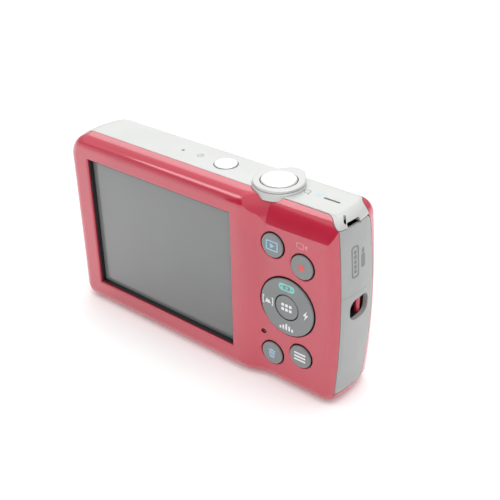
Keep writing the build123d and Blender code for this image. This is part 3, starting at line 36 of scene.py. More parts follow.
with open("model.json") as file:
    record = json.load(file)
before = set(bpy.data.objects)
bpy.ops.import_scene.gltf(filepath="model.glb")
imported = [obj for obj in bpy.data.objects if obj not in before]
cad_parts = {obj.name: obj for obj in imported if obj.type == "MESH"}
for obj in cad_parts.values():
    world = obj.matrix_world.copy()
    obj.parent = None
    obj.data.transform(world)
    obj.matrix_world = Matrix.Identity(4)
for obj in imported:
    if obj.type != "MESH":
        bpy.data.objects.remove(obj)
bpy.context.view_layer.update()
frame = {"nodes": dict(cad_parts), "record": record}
scene = bpy.context.scene

# Viewing angle and framing ------------------------------------------------------------------------
VIEW_AZIMUTH, VIEW_ELEVATION, VIEW_ROLL = radians(39.75), radians(30.43), radians(-0.96)
VIEW_DISTANCE, VIEW_ACROSS, VIEW_UP = 258.4 * MM, -8.8 * MM, -23.4 * MM
FOCAL_LENGTH, SENSOR = 63.13, 36.0
NEAREST, FURTHEST = 0.01, 20


def make_camera():
    """A camera at the viewing angle. The base's centre lies off the optical axis by the framing."""
    a, e = VIEW_AZIMUTH, VIEW_ELEVATION
    back = Vector((sin(a) * cos(e), -cos(a) * cos(e), sin(e)))
    right = Vector((cos(a), sin(a), 0))
    up = back.cross(right)
    right, up = (
        right * cos(VIEW_ROLL) + up * sin(VIEW_ROLL),
        up * cos(VIEW_ROLL) - right * sin(VIEW_ROLL),
    )
    data = bpy.data.cameras.new("view")
    data.lens, data.sensor_width = FOCAL_LENGTH, SENSOR
    data.clip_start, data.clip_end = NEAREST, FURTHEST
    camera = bpy.data.objects.new("view", data)
    scene.collection.objects.link(camera)
    turn = Matrix((right, up, back)).transposed()
    camera.matrix_world = Matrix.Translation(
        back * VIEW_DISTANCE - right * VIEW_ACROSS - up * VIEW_UP
    ) @ turn.to_4x4()
    scene.camera = camera


make_camera()


# Materials ------------------------------------------------------------------------------------------
# Scales of the procedural patterns, in features per metre of surface
FLAKE_SCALE, PEEL_SCALE, GRAIN_SCALE, LATHE_SCALE, BRUSH_SCALE, TRACK_SCALE = 5200, 700, 1400, 9000, 900, 700


class Graph:
    """A material's node tree, with short calls for the nodes this file uses."""

    def __init__(self, name):
        self.material = bpy.data.materials.new(name)
        self.material.use_nodes = True
        self.tree = self.material.node_tree
        self.shader = self.tree.nodes["Principled BSDF"]
        self.coords = self.add("ShaderNodeTexCoord").outputs["Object"]

    def add(self, kind, **values):
        node = self.tree.nodes.new(kind)
        for key, value in values.items():
            setattr(node, key, value)
        return node

    def link(self, source, target):
        self.tree.links.new(source, target)

    def set(self, **values):
        for key, value in values.items():
            socket = self.shader.inputs[key.replace("_", " ")]
            is_colour = socket.type == "RGBA"
            socket.default_value = (*value, 1.0) if is_colour else value

    def scaled(self, stretch):
        mapping = self.add("ShaderNodeMapping")
        mapping.inputs["Scale"].default_value = stretch
        self.link(self.coords, mapping.inputs["Vector"])
        return mapping.outputs["Vector"]

    def noise(self, scale, detail=3.0, stretch=(1, 1, 1)):
        node = self.add("ShaderNodeTexNoise")
        node.inputs["Scale"].default_value = scale
        node.inputs["Detail"].default_value = detail
        self.link(self.scaled(stretch), node.inputs["Vector"])
        return node.outputs["Fac"]

    def cells(self, scale):
        node = self.add("ShaderNodeTexVoronoi")
        node.inputs["Scale"].default_value = scale
        self.link(self.coords, node.inputs["Vector"])
        return node

    def spread(self, source, low, high, start=0.3, end=0.7):
        node = self.add("ShaderNodeMapRange")
        for key, value in (("From Min", start), ("From Max", end), ("To Min", low), ("To Max", high)):
            node.inputs[key].default_value = value
        self.link(source, node.inputs["Value"])
        return node.outputs["Result"]

    def blend(self, source, first, second):
        """Two colours mixed by source. A colour is a triple or another node's output."""
        node = self.add("ShaderNodeMix", data_type="RGBA")
        self.link(source, node.inputs["Factor"])
        for key, colour in (("A", first), ("B", second)):
            socket = next(s for s in node.inputs if s.name == key and s.type == "RGBA")
            if isinstance(colour, tuple):
                socket.default_value = (*colour, 1.0)
            else:
                self.link(colour, socket)
        return next(s for s in node.outputs if s.type == "RGBA")

    def bump(self, height, distance, strength):
        node = self.add("ShaderNodeBump")
        node.inputs["Distance"].default_value = distance
        node.inputs["Strength"].default_value = strength
        self.link(height, node.inputs["Height"])
        return node.outputs["Normal"]

    def finish(self, colour=None, roughness=None, normal=None):
        for source, key in ((colour, "Base Color"), (roughness, "Roughness"), (normal, "Normal")):
            if source:
                self.link(source, self.shader.inputs[key])
        return self.material


def metallic_paint(name, light, dark, metallic, roughness, coat, coat_ior=1.5):
    """Lacquer over fine metal flakes, with a trace of orange peel and slight handling wear."""
    g = Graph(name)
    flakes = g.spread(g.cells(FLAKE_SCALE).outputs["Color"], 0.0, 0.3, 0.1, 0.9)
    tone_drift_and_painted_reflection = g.blend(g.spread(g.noise(45, 2.0), 0.0, 1.0), dark, light)
    colour = g.blend(flakes, tone_drift_and_painted_reflection, light)
    rough = g.spread(g.noise(220, 4.0), roughness - 0.03, roughness + 0.04)
    peel = g.bump(g.noise(PEEL_SCALE, 1.0), 0.01 * MM, 0.08)
    g.set(Metallic=metallic, Coat_Weight=coat, Coat_Roughness=0.06, Coat_IOR=coat_ior)
    return g.finish(colour, rough, peel)


def moulded(name, light, dark, roughness, grain=0.01, coat=0.0):
    """Moulded plastic: fine spark-eroded grain, uneven sheen and a slow drift of tone."""
    g = Graph(name)
    colour = g.blend(g.spread(g.noise(90, 3.0), 0.0, 1.0), dark, light)
    rough = g.spread(g.noise(260, 4.0), roughness - 0.05, roughness + 0.05)
    normal = g.bump(g.noise(GRAIN_SCALE, 2.0), grain * MM, 0.35)
    g.set(Coat_Weight=coat, Coat_Roughness=0.12)
    return g.finish(colour, rough, normal)


def key_plastic(name, light, dark):
    """Satin key plastic whose flange and sides are painted black below the panel's surface, as painted shade
    in the gap round each key.
    """
    g = Graph(name)
    place = g.add("ShaderNodeSeparateXYZ")
    g.link(g.coords, place.inputs["Vector"])
    panel_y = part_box("control_pad")[0].y + KEY_PROUD
    # Painted shade: black below the panel's surface, where the gap round the key only holds shade.
    painted_gap_shade = g.spread(place.outputs["Y"], 0.0, 1.0, panel_y - 0.1 * MM, panel_y + 0.15 * MM)
    face = g.blend(g.spread(g.noise(90, 3.0), 0.0, 1.0), dark, light)
    colour = g.blend(painted_gap_shade, face, (0.006, 0.005, 0.006))
    rough = g.spread(g.noise(260, 4.0), 0.3, 0.4)
    g.set(Coat_Weight=0.25, Coat_Roughness=0.15)
    return g.finish(colour, rough, g.bump(g.noise(GRAIN_SCALE, 2.0), 0.006 * MM, 0.35))


def turned_metal(name, light, dark, roughness, centre, axis):
    """Metal with the fine rings of a lathe about an axis through centre."""
    g = Graph(name)
    mapping = g.add("ShaderNodeMapping")
    mapping.inputs["Location"].default_value = -Vector(centre)
    g.link(g.coords, mapping.inputs["Vector"])
    flat = g.add("ShaderNodeVectorMath", operation="MULTIPLY")
    flat.inputs[1].default_value = tuple(0.0 if abs(part) > 0.5 else 1.0 for part in axis)
    g.link(mapping.outputs["Vector"], flat.inputs[0])
    radius = g.add("ShaderNodeVectorMath", operation="LENGTH")
    g.link(flat.outputs["Vector"], radius.inputs[0])
    rings = g.add("ShaderNodeTexNoise", noise_dimensions="1D")
    rings.inputs["Scale"].default_value = LATHE_SCALE
    rings.inputs["Detail"].default_value = 2.0
    g.link(radius.outputs["Value"], rings.inputs["W"])
    ring = rings.outputs["Fac"]
    colour = g.blend(g.spread(ring, 0.0, 1.0), dark, light)
    rough = g.spread(g.noise(300, 3.0), roughness - 0.04, roughness + 0.05)
    g.set(Metallic=0.85)
    return g.finish(colour, rough, g.bump(ring, 0.004 * MM, 0.3))


def brushed_metal(name, light, dark, roughness, stretch=(1, 1, 30)):
    """Metal with fine parallel streaks, across the axis that stretch crowds them along."""
    g = Graph(name)
    streaks = g.noise(BRUSH_SCALE, 3.0, stretch)
    colour = g.blend(g.spread(streaks, 0.0, 1.0), dark, light)
    rough = g.spread(streaks, roughness - 0.06, roughness + 0.06)
    g.set(Metallic=1.0)
    return g.finish(colour, rough, g.bump(streaks, 0.003 * MM, 0.3))


def screen_face(name):
    """A switched-off display: grey under an anti-glare film, with a painted reflection that makes it lighter
    to the upper left and darker to its lower right corner.
    """
    g = Graph(name)
    low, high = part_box("screen_window")
    width, height = high.x - low.x, high.z - low.z
    ramp = g.add("ShaderNodeMapping")
    ramp.inputs["Location"].default_value = (-high.x / width, 0, -low.z / height)
    ramp.inputs["Scale"].default_value = (1 / width, 0, 1 / height)
    g.link(g.coords, ramp.inputs["Vector"])
    painted_reflection_gradient = g.add("ShaderNodeTexGradient", gradient_type="SPHERICAL")
    g.link(ramp.outputs["Vector"], painted_reflection_gradient.inputs["Vector"])
    # Painted reflection: a spherical gradient, lightest at the upper left and darkest at the lower right
    # corner.
    tone_drift_and_painted_reflection = g.blend(painted_reflection_gradient.outputs["Fac"], (0.215, 0.22, 0.222), (0.13, 0.138, 0.135))
    colour = g.blend(g.spread(g.noise(30, 2.0), 0.0, 0.25), tone_drift_and_painted_reflection, (0.24, 0.25, 0.245))
    rough = g.spread(g.noise(500, 2.0), 0.19, 0.25)
    g.set(Coat_Weight=0.6, Coat_Roughness=0.08, Specular_IOR_Level=0.5)
    return g.finish(colour, rough, g.bump(g.noise(4000, 1.0), 0.001 * MM, 0.15))


def clear(name, tint, roughness):
    """Clear acrylic, slightly uneven in sheen."""
    g = Graph(name)
    g.set(Base_Color=tint, IOR=1.49, Transmission_Weight=1.0)
    return g.finish(roughness=g.spread(g.noise(400, 3.0), roughness, roughness + 0.04))


def coated_lens(name):
    """Lens glass with the violet and green sheen of its coating."""
    g = Graph(name)
    facing = g.add("ShaderNodeLayerWeight")
    facing.inputs["Blend"].default_value = 0.35
    colour = g.blend(facing.outputs["Facing"], (0.012, 0.012, 0.03), (0.10, 0.03, 0.16))
    g.set(Coat_Weight=1.0, Coat_Roughness=0.01, Specular_IOR_Level=0.9)
    return g.finish(colour, g.spread(g.noise(200, 2.0), 0.02, 0.05))


def circuit_board(name):
    """Green solder resist over copper tracks."""
    g = Graph(name)
    tracks = g.add("ShaderNodeTexBrick")
    tracks.inputs["Scale"].default_value = TRACK_SCALE
    tracks.inputs["Mortar Size"].default_value = 0.03
    g.link(g.coords, tracks.inputs["Vector"])
    colour = g.blend(tracks.outputs["Fac"], (0.01, 0.10, 0.045), (0.03, 0.20, 0.09))
    g.set(Coat_Weight=0.4, Coat_Roughness=0.2)
    relief = g.bump(tracks.outputs["Fac"], 0.02 * MM, 0.4)
    return g.finish(colour, g.spread(g.noise(500), 0.35, 0.5), relief)


def ink(name, colour):
    """Screen-printed ink, slightly uneven in tone."""
    g = Graph(name)
    faded = tuple(0.86 * part for part in colour)
    shade = g.blend(g.spread(g.noise(1500, 3.0), 0.0, 1.0), faded, colour)
    return g.finish(shade, g.spread(g.noise(1200), 0.4, 0.53))


lens_low, lens_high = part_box("outer_barrel")
lens_axis = (lens_low + lens_high) / 2
shutter_low, shutter_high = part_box("shutter_button")
shutter_axis = (shutter_low + shutter_high) / 2

SHELL = metallic_paint(
    "cherry_lacquer", (0.56, 0.008, 0.045), (0.48, 0.005, 0.032), 0.12, 0.34, 1.0, 1.75
)
SILVER = metallic_paint("silver_lacquer", (0.62, 0.63, 0.615), (0.57, 0.58, 0.565), 0.25, 0.38, 0.35)
GREY = moulded("grey_plastic", (0.41, 0.42, 0.415), (0.37, 0.38, 0.375), 0.42)
BLACK = moulded("black_plastic", (0.014, 0.014, 0.015), (0.008, 0.008, 0.009), 0.5)
KEY = key_plastic("key_plastic", (0.24, 0.255, 0.255), (0.21, 0.225, 0.225))
GEAR = moulded("gear_plastic", (0.78, 0.77, 0.70), (0.70, 0.69, 0.62), 0.4)
BATTERY = moulded("battery_wrap", (0.05, 0.055, 0.065), (0.035, 0.04, 0.05), 0.35)
CARD = moulded("card_plastic", (0.02, 0.04, 0.16), (0.015, 0.03, 0.12), 0.4)
SLEEVE = moulded("capacitor_sleeve", (0.02, 0.02, 0.03), (0.012, 0.012, 0.02), 0.25, 0.004, 0.5)
BAR = metallic_paint("strap_bar_lacquer", (0.62, 0.03, 0.08), (0.5, 0.015, 0.05), 0.3, 0.25, 1.0)
STEEL = brushed_metal("steel", (0.62, 0.62, 0.61), (0.45, 0.45, 0.44), 0.3)
BRASS = brushed_metal("brass", (0.72, 0.52, 0.22), (0.55, 0.38, 0.14), 0.3)
BLADES = brushed_metal("blade_black", (0.035, 0.035, 0.037), (0.018, 0.018, 0.02), 0.4, (30, 1, 1))
BARREL = turned_metal("barrel_metal", (0.62, 0.63, 0.65), (0.48, 0.49, 0.51), 0.28, lens_axis, (0, 1, 0))
TRIM = turned_metal("trim_metal", (0.80, 0.80, 0.81), (0.66, 0.66, 0.67), 0.16, lens_axis, (0, 1, 0))
SPUN = turned_metal(
    "shutter_metal", (0.92, 0.92, 0.92), (0.86, 0.86, 0.86), 0.34, shutter_axis, (0, 0, 1)
)
SCREEN = screen_face("display")
LENS = coated_lens("lens_glass")
FLASH = clear("flash_glass", (0.97, 0.98, 1.0), 0.06)
LAMP = clear("lamp_plastic", (1.0, 0.86, 0.62), 0.12)
BOARD = circuit_board("circuit_board")
WHITE_INK = ink("white_ink", (0.88, 0.90, 0.90))
BLUE_INK = ink("blue_ink", (0.38, 0.62, 0.80))
TEAL_INK = ink("teal_ink", (0.26, 0.68, 0.62))
RED_INK = ink("red_ink", (0.80, 0.13, 0.12))
GREY_INK = ink("grey_ink", (0.30, 0.31, 0.31))
PINK_INK = ink("pink_ink", (0.80, 0.28, 0.34))
PALE_INK = ink("pale_blue_ink", (0.50, 0.68, 0.76))
# Painted shade: the raised marks on the grey cover get a darker grey than the cover, standing in for the
# shade of their relief.
SHADED_RELIEF = moulded("relief_painted_shade", (0.24, 0.245, 0.24), (0.20, 0.205, 0.20), 0.5)

BY_SLOT = {
    "shell_paint": SHELL, "silver_paint": SILVER, "grey_plastic": GREY, "black_plastic": BLACK,
    "window_glass": SCREEN, "screen_glass": SCREEN, "bare_metal": STEEL, "key_plastic": KEY,
    "circuit_board": BOARD, "lamp_plastic": LAMP, "chrome_trim": TRIM, "gear_plastic": GEAR,
    "brass_gear": BRASS, "barrel_metal": BARREL, "lens_glass": LENS, "blade_metal": BLADES,
    "battery_wrap": BATTERY, "card_plastic": CARD, "strap_bar_paint": BAR, "flash_glass": FLASH,
    "capacitor_sleeve": SLEEVE,
}
node_slots = {part["node"]: part["material_slot"] for part in frame["record"]["subparts"]}
for node, obj in frame["nodes"].items():
    obj.data.materials.clear()
    obj.data.materials.append(BY_SLOT[node_slots[node]])
for node in ("shutter_button", "power_button"):
    frame["nodes"][node].data.materials[0] = SPUN


# Fine pieces, with their dimensions in mm -----------------------------------------------------------
# How far printed marks reach on the keys and on the casings, and the raised marks on the cover
KEY_PRINT, CASE_PRINT, RELIEF_HEIGHT = 0.05, 0.03, 0.16
CORNER_STEPS = 6
RIGHT, FORWARD, UP, DOWN = (1, 0, 0), (0, 1, 0), (0, 0, 1), (0, 0, -1)


def add_piece(name, mesh, material, body):
    mesh.materials.append(material)
    piece = bpy.data.objects.new(name, mesh)
    scene.collection.objects.link(piece)
    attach(piece, body)


def round_outline(centre, radius, count=40):
    u, v = centre
    return [(u + radius * cos(tau * k / count), v + radius * sin(tau * k / count)) for k in range(count)]


def box_outline(centre, size, corner):
    """A rectangle's outline, with quarter-circle corners."""
    u, v = centre
    half_u, half_v = size[0] / 2 - corner, size[1] / 2 - corner
    points = []
    for quarter, (side_u, side_v) in enumerate(((1, 1), (-1, 1), (-1, -1), (1, -1))):
        for step in range(CORNER_STEPS + 1):
            angle = pi / 2 * (quarter + step / CORNER_STEPS)
            across, up = side_u * half_u + corner * cos(angle), side_v * half_v + corner * sin(angle)
            points.append((u + across, v + up))
    return points


def moved(points, offset):
    return [(u + offset[0], v + offset[1]) for u, v in points]


def filled(layers, thickness):
    """A thin solid mesh in its own plane. In each layer of outlines, one inside another is a hole."""
    bm = bmesh.new()
    for outlines in layers:
        curve = bpy.data.curves.new("outline", "CURVE")
        curve.dimensions, curve.fill_mode, curve.extrude = "2D", "BOTH", thickness / 2
        for points in outlines:
            spline = curve.splines.new("POLY")
            spline.points.add(len(points) - 1)
            for point, (u, v) in zip(spline.points, points):
                point.co = (u, v, 0, 1)
            spline.use_cyclic_u = True
        holder = bpy.data.objects.new("outline", curve)
        flat = bpy.data.meshes.new_from_object(holder)
        bm.from_mesh(flat)
        bpy.data.objects.remove(holder)
        bpy.data.curves.remove(curve)
        bpy.data.meshes.remove(flat)
    bmesh.ops.remove_doubles(bm, verts=bm.verts, dist=1e-4)
    mesh = bpy.data.meshes.new("filled")
    bm.to_mesh(mesh)
    bm.free()
    return mesh


def mark(name, layers, centre, across, up, material, body, height=KEY_PRINT, onto=None):
    """Marks in mm on a face, sunk by half their height. With onto, they follow that node's surface."""
    mesh = filled(layers, height)
    across, up = Vector(across), Vector(up)
    out = across.cross(up)
    turn = Matrix((across, up, out)).transposed().to_4x4()
    mesh.transform(Matrix.Translation(centre) @ turn @ Matrix.Scale(MM, 4))
    if onto:
        surface = BVHTree.FromObject(frame["nodes"][onto], bpy.context.evaluated_depsgraph_get())
        for vert in mesh.vertices:
            lift = (vert.co - Vector(centre)).dot(out)
            start = vert.co - out * lift + out * MM
            hit = surface.ray_cast(start, -out)[0]
            vert.co = hit + out * lift
    add_piece(name, mesh, material, body)


def back_face(node):
    """The middle of a key's face on the back."""
    low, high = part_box(node)
    return Vector(((low.x + high.x) / 2, low.y, (low.z + high.z) / 2))


def make_key_marks():
    """Generic symbols printed on the keys."""
    frame_ring = [box_outline((0, 0), (3.7, 2.8), 0.25), box_outline((0, 0), (3.0, 2.1), 0.1)]
    triangle = [[(-0.55, -0.75), (0.8, 0.0), (-0.55, 0.75)]]
    bin_slots = [box_outline((u, -0.45), (0.22, 1.1), 0.08) for u in (-0.4, 0.0, 0.4)]
    bin_body = [[(-0.95, 0.45), (0.95, 0.45), (0.75, -1.4), (-0.75, -1.4)], *bin_slots]
    bin_lid = [box_outline((0, 0.85), (2.5, 0.36), 0.12)]
    bin_handle = [box_outline((0, 1.2), (0.9, 0.26), 0.1)]
    bars = [[box_outline((0, v), (3.6, 0.5), 0.15)] for v in (-1.0, 0.0, 1.0)]
    tiles = [[box_outline((u, v), (0.85, 0.85), 0.15)] for u in (-1.2, 0.0, 1.2) for v in (-0.65, 0.65)]
    marks = (
        ("play", [frame_ring, triangle], BLUE_INK),
        ("movie", [[box_outline((0, 0), (1.7, 1.7), 0.4)]], RED_INK),
        ("delete", [bin_body, bin_lid, bin_handle], BLUE_INK),
        ("menu", bars, WHITE_INK),
        ("set", tiles, WHITE_INK),
    )
    for body, layers, material in marks:
        place = back_face(f"{body}_button")
        mark(f"{body}_mark", layers, place, RIGHT, UP, material, body)


def make_pad_marks():
    """Generic symbols round the pad: a pill on top, then a flash, bars and peaks, clockwise."""
    reach = 5.95
    place = back_face("control_pad")
    pill = [box_outline((0, 0), (5.0, 2.1), 1.04), box_outline((0, 0), (2.2, 1.2), 0.2)]
    pill += [round_outline((0, 0), 0.38)]
    pill += [round_outline((u, 0), 0.24, 20) for u in (-1.75, 1.75)]
    bolt = [[(0.45, 1.6), (-0.8, -0.15), (-0.1, -0.15), (-0.45, -1.6), (0.8, 0.3), (0.1, 0.3)]]
    heights = (0.8, 1.3, 1.9, 1.5, 0.9)
    bars = [[box_outline((0.95 * (k - 2), h / 2 - 0.9), (0.55, h), 0.1)] for k, h in enumerate(heights)]
    half, depth, stroke = 1.2, 0.55, 0.28
    bracket = [
        (0, half), (depth, half), (depth, half - stroke), (stroke, half - stroke),
        (stroke, stroke - half), (depth, stroke - half), (depth, -half), (0, -half),
    ]
    facing = [(-u, v) for u, v in bracket]
    peaks = [[(-0.95, -0.75), (-0.3, 0.7), (0.05, 0.0), (0.35, 0.45), (0.95, -0.75)]]
    views = [[moved(bracket, (-1.7, 0))], [moved(facing, (1.7, 0))], peaks]
    marks = (
        ("pad_up_mark", [pill], (0, reach), TEAL_INK),
        ("pad_right_mark", [bolt], (reach, 0), WHITE_INK),
        ("pad_down_mark", bars, (0, -reach), WHITE_INK),
        ("pad_left_mark", views, (-reach, 0), WHITE_INK),
    )
    for name, layers, offset, material in marks:
        layers = [[moved(points, offset) for points in outlines] for outlines in layers]
        mark(name, layers, place, RIGHT, UP, material, "pad")


# The marks' places: from the movie key, from the shutter button (twice) and from the terminal cover's middle
FILM_MARK, ZOOM_IN_MARK, ZOOM_OUT_MARK, PORT_MARK = (-0.4, 5.7), (8.1, 1.0), (11.2, 1.6), (-2.0, -0.3)
POWER_MARK_GAP, POWER_ARC_RADIUS, POWER_ARC_STEPS = 5.2, 0.9, 24


def make_case_marks():
    """Symbols on the casings: a film camera on the back, zoom and power on top, a port on the cover."""
    panel_y = back_face("control_pad").y + KEY_PROUD
    movie = back_face("movie_button")
    film = [box_outline((-0.4, 0), (2.2, 1.7), 0.3), box_outline((-0.4, 0), (1.7, 1.2), 0.15)]
    horn = [[(0.95, 0.2), (1.7, 0.7), (1.7, -0.7), (0.95, -0.2)]]
    place = (movie.x + FILM_MARK[0] * MM, panel_y, movie.z + FILM_MARK[1] * MM)
    mark("film_mark", [film, horn], place, RIGHT, UP, PINK_INK, "body", CASE_PRINT)
    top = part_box("top_cover")[1].z - PLATFORM_HEIGHT
    loupe = [round_outline((-0.25, 0.25), 0.95), round_outline((-0.25, 0.25), 0.7)]
    handle = [[(0.32, -0.52), (0.52, -0.32), (1.1, -0.9), (0.9, -1.1)]]
    place = (shutter_axis.x + ZOOM_IN_MARK[0] * MM, shutter_axis.y + ZOOM_IN_MARK[1] * MM, top)
    layers = [loupe, handle]
    mark("zoom_in_mark", layers, place, RIGHT, FORWARD, GREY_INK, "body", CASE_PRINT)
    tiles = [[box_outline((u, v), (0.7, 0.7), 0.1)] for u in (-0.5, 0.5) for v in (-0.5, 0.5)]
    place = (shutter_axis.x + ZOOM_OUT_MARK[0] * MM, shutter_axis.y + ZOOM_OUT_MARK[1] * MM, top)
    mark("zoom_out_mark", tiles, place, RIGHT, FORWARD, PALE_INK, "body", CASE_PRINT)
    power_low, power_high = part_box("power_button")
    angles = [pi * (0.62 + 1.76 * k / POWER_ARC_STEPS) for k in range(POWER_ARC_STEPS + 1)]
    arc = [(POWER_ARC_RADIUS * cos(angle), POWER_ARC_RADIUS * sin(angle)) for angle in angles]
    inner_arc = [(0.75 * u, 0.75 * v) for u, v in reversed(arc)]
    stroke = [box_outline((0, 0.6), (0.26, 1.1), 0.1)]
    place = (power_low.x - POWER_MARK_GAP * MM, (power_low.y + power_high.y) / 2, top)
    layers = [[arc + inner_arc], stroke]
    mark("power_mark", layers, place, RIGHT, FORWARD, GREY_INK, "body", CASE_PRINT)
    low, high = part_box("terminal_cover")
    port = [box_outline((0, 0), (8.6, 2.7), 0.8), box_outline((0, 0), (7.8, 1.9), 0.5)]
    pins = [[box_outline((u, 0), (0.9, 0.8), 0.1)] for u in (-2.6, -1.3, 0.0, 1.3, 2.6)]
    plug = [[box_outline((0.8, 3.2), (3.6, 1.5), 0.3)], [box_outline((-1.9, 3.2), (1.2, 0.9), 0.1)]]
    middle = (low + high) / 2
    place = (high.x + MM, middle.y + PORT_MARK[0] * MM, middle.z + PORT_MARK[1] * MM)
    node, layers = "terminal_cover", [port, *pins, *plug]
    # The port mark is moulded relief in the cover's plastic, drawn darker as painted shade.
    mark("port_mark", layers, place, DOWN, FORWARD, SHADED_RELIEF, "cover", RELIEF_HEIGHT, node)


TURN_SEGMENTS, STEPS_PER_TOOTH = 160, 4


def ring_profile(inner, outer, low, high):
    """The section of a plain ring, as (radius, height) points."""
    return [(inner, low), (outer, low), (outer, high), (inner, high)]


def lathe(name, profile, origin, axis, material, body, slot, teeth=0, tooth=0.0):
    """A closed profile of (radius, height) points, turned about an axis, with optional fine ribs."""
    axis = Vector(axis)
    side = axis.orthogonal().normalized()
    other = axis.cross(side)
    count = teeth * STEPS_PER_TOOTH or TURN_SEGMENTS
    bm = bmesh.new()
    rings = []
    for k in range(count):
        angle = tau * k / count
        rib = tooth if teeth and k % STEPS_PER_TOOTH < STEPS_PER_TOOTH / 2 else 0.0
        out = side * cos(angle) + other * sin(angle)
        rings.append([bm.verts.new(origin + (out * (r + rib) + axis * h) * MM) for r, h in profile])
    for k in range(count):
        ring, following = rings[k], rings[(k + 1) % count]
        for point in range(len(profile)):
            after = (point + 1) % len(profile)
            bm.faces.new((ring[point], following[point], following[after], ring[after]))
    bmesh.ops.recalc_face_normals(bm, faces=bm.faces)
    mesh = bpy.data.meshes.new(name)
    bm.to_mesh(mesh)
    bm.free()
    if not teeth:
        mesh.shade_smooth()
        mesh.set_sharp_from_angle(angle=radians(30))
    add_piece(name, mesh, material, body)


TRIM_RIBS, TRIM_RIB_HEIGHT, TRIM_RIB_ROOT, TRIM_RIB_BAND = 200, 0.07, 0.3, (0.1, 0.45)
FACE_RINGS, FACE_RING_WIDTH, FACE_RING_BAND = (9.0, 9.8, 10.6), 0.35, (0.05, 0.13)


def make_lens_rings():
    """Fine rings on the front: ribs round the trim, and a black face with bright rings on the barrel."""
    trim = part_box("lens_trim_ring")
    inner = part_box("inner_barrel")
    trim_radius = (trim[1].x - trim[0].x) / 2 / MM
    trim_origin = Vector((lens_axis.x, trim[0].y, lens_axis.z))
    ribs = ring_profile(trim_radius - TRIM_RIB_ROOT, trim_radius, *TRIM_RIB_BAND)
    size = {"teeth": TRIM_RIBS, "tooth": TRIM_RIB_HEIGHT}
    lathe("trim_ribs", ribs, trim_origin, FORWARD, TRIM, "body", "chrome_trim", **size)
    face_origin = Vector((lens_axis.x, inner[1].y, lens_axis.z))
    step = [(8.0, -0.2), (8.0, 0.02), (8.15, 0.1), (11.6, 0.1), (11.75, 0.02), (11.75, -0.2)]
    lathe("barrel_face", step, face_origin, FORWARD, BLACK, "inner_lens", "barrel_metal")
    for k, radius in enumerate(FACE_RINGS):
        name, ring = f"barrel_face_ring_{k}", ring_profile(radius, radius + FACE_RING_WIDTH, *FACE_RING_BAND)
        lathe(name, ring, face_origin, FORWARD, BARREL, "inner_lens", "barrel_metal")


THREAD_PITCH, THREAD_STEPS, THREAD_ROOT, THREAD_CREST = 1.27, 48, 3.24, 2.92
THREAD_START, THREAD_END_GAP, THREAD_ROOT_HALF, THREAD_CREST_HALF = 0.9, 1.8, 0.48, 0.09


def make_tripod_thread():
    """The screw thread in the tripod socket, twenty turns to the inch."""
    low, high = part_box("tripod_socket")
    length = (high.z - low.z) / MM - THREAD_END_GAP - THREAD_START
    count = ceil(length / THREAD_PITCH * THREAD_STEPS)
    centre = Vector(((low.x + high.x) / 2, (low.y + high.y) / 2, low.z))
    bm = bmesh.new()
    rows = []
    for k in range(count + 1):
        angle, height = tau * k / THREAD_STEPS, THREAD_START + THREAD_PITCH * k / THREAD_STEPS
        out = Vector((cos(angle), sin(angle), 0))
        section = (
            (THREAD_ROOT, -THREAD_ROOT_HALF), (THREAD_CREST, -THREAD_CREST_HALF),
            (THREAD_CREST, THREAD_CREST_HALF), (THREAD_ROOT, THREAD_ROOT_HALF),
        )
        points = [out * r + Vector((0, 0, height + h)) for r, h in section]
        rows.append([bm.verts.new(centre + point * MM) for point in points])
    for row, following in zip(rows, rows[1:]):
        for point in range(4):
            after = (point + 1) % 4
            bm.faces.new((row[point], row[after], following[after], following[point]))
    bm.faces.new(rows[0])
    bm.faces.new(rows[-1])
    bmesh.ops.recalc_face_normals(bm, faces=bm.faces)
    mesh = bpy.data.meshes.new("tripod_thread")
    bm.to_mesh(mesh)
    bm.free()
    add_piece("tripod_thread", mesh, STEEL, "body")


GRILLE_PITCH, GRILLE_HOLE, GRILLE_SIZE, GRILLE_HEIGHT = 0.5, 0.17, (6.4, 2.4), 0.1
GRILLE_OFFSET, GRILLE_LIFT = 1.5, 0.15
FLASH_RIBS, FLASH_RIB_DEPTH, FLASH_SHEET, FLASH_RIM, FLASH_GAP = 16, 0.32, 0.15, 0.8, 0.4


def make_grilles():
    """Perforated sheet behind the speaker slot, and ribs on the back of the flash window."""
    low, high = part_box("speaker")
    sheet = [box_outline((0, 0), GRILLE_SIZE, 0.3)]
    holes = [(GRILLE_PITCH * u, GRILLE_PITCH * v) for u in range(-5, 6) for v in range(-1, 2)]
    sheet += [round_outline(hole, GRILLE_HOLE, 12) for hole in holes]
    middle = (low + high) / 2
    place = (middle.x + GRILLE_OFFSET * MM, middle.y, high.z + GRILLE_LIFT * MM)
    mark("speaker_grille", [sheet], place, RIGHT, FORWARD, BLACK, "body", GRILLE_HEIGHT)
    low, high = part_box("flash_window")
    width = (high.x - low.x) / MM - FLASH_RIM
    rib = width / FLASH_RIBS
    wave = [(-width / 2, 0.0)]
    for k in range(FLASH_RIBS):
        wave += [(-width / 2 + rib * (k + 0.5), FLASH_RIB_DEPTH), (-width / 2 + rib * (k + 1), 0.0)]
    outline = [wave + [(width / 2, -FLASH_SHEET), (-width / 2, -FLASH_SHEET)]]
    place = ((low.x + high.x) / 2, low.y - FLASH_GAP * MM, (low.z + high.z) / 2)
    height = (high.z - low.z) / MM - FLASH_RIM
    mark("flash_ribs", [outline], place, RIGHT, FORWARD, FLASH, "body", height)


POWER_CAP_RADIUS = 3.15
# Black rings as painted shade in the gaps: each ring's inner and outer distance from the button's edge, and
# its lowest and highest point
SHUTTER_SHADE_RING, LEVER_SHADE_RING = (0.04, 0.19, -0.5, -0.14), (0.8, 1.8, 0.01, 0.14)
POWER_SHADE_RING = (0.02, 0.18, -0.4, -0.08)


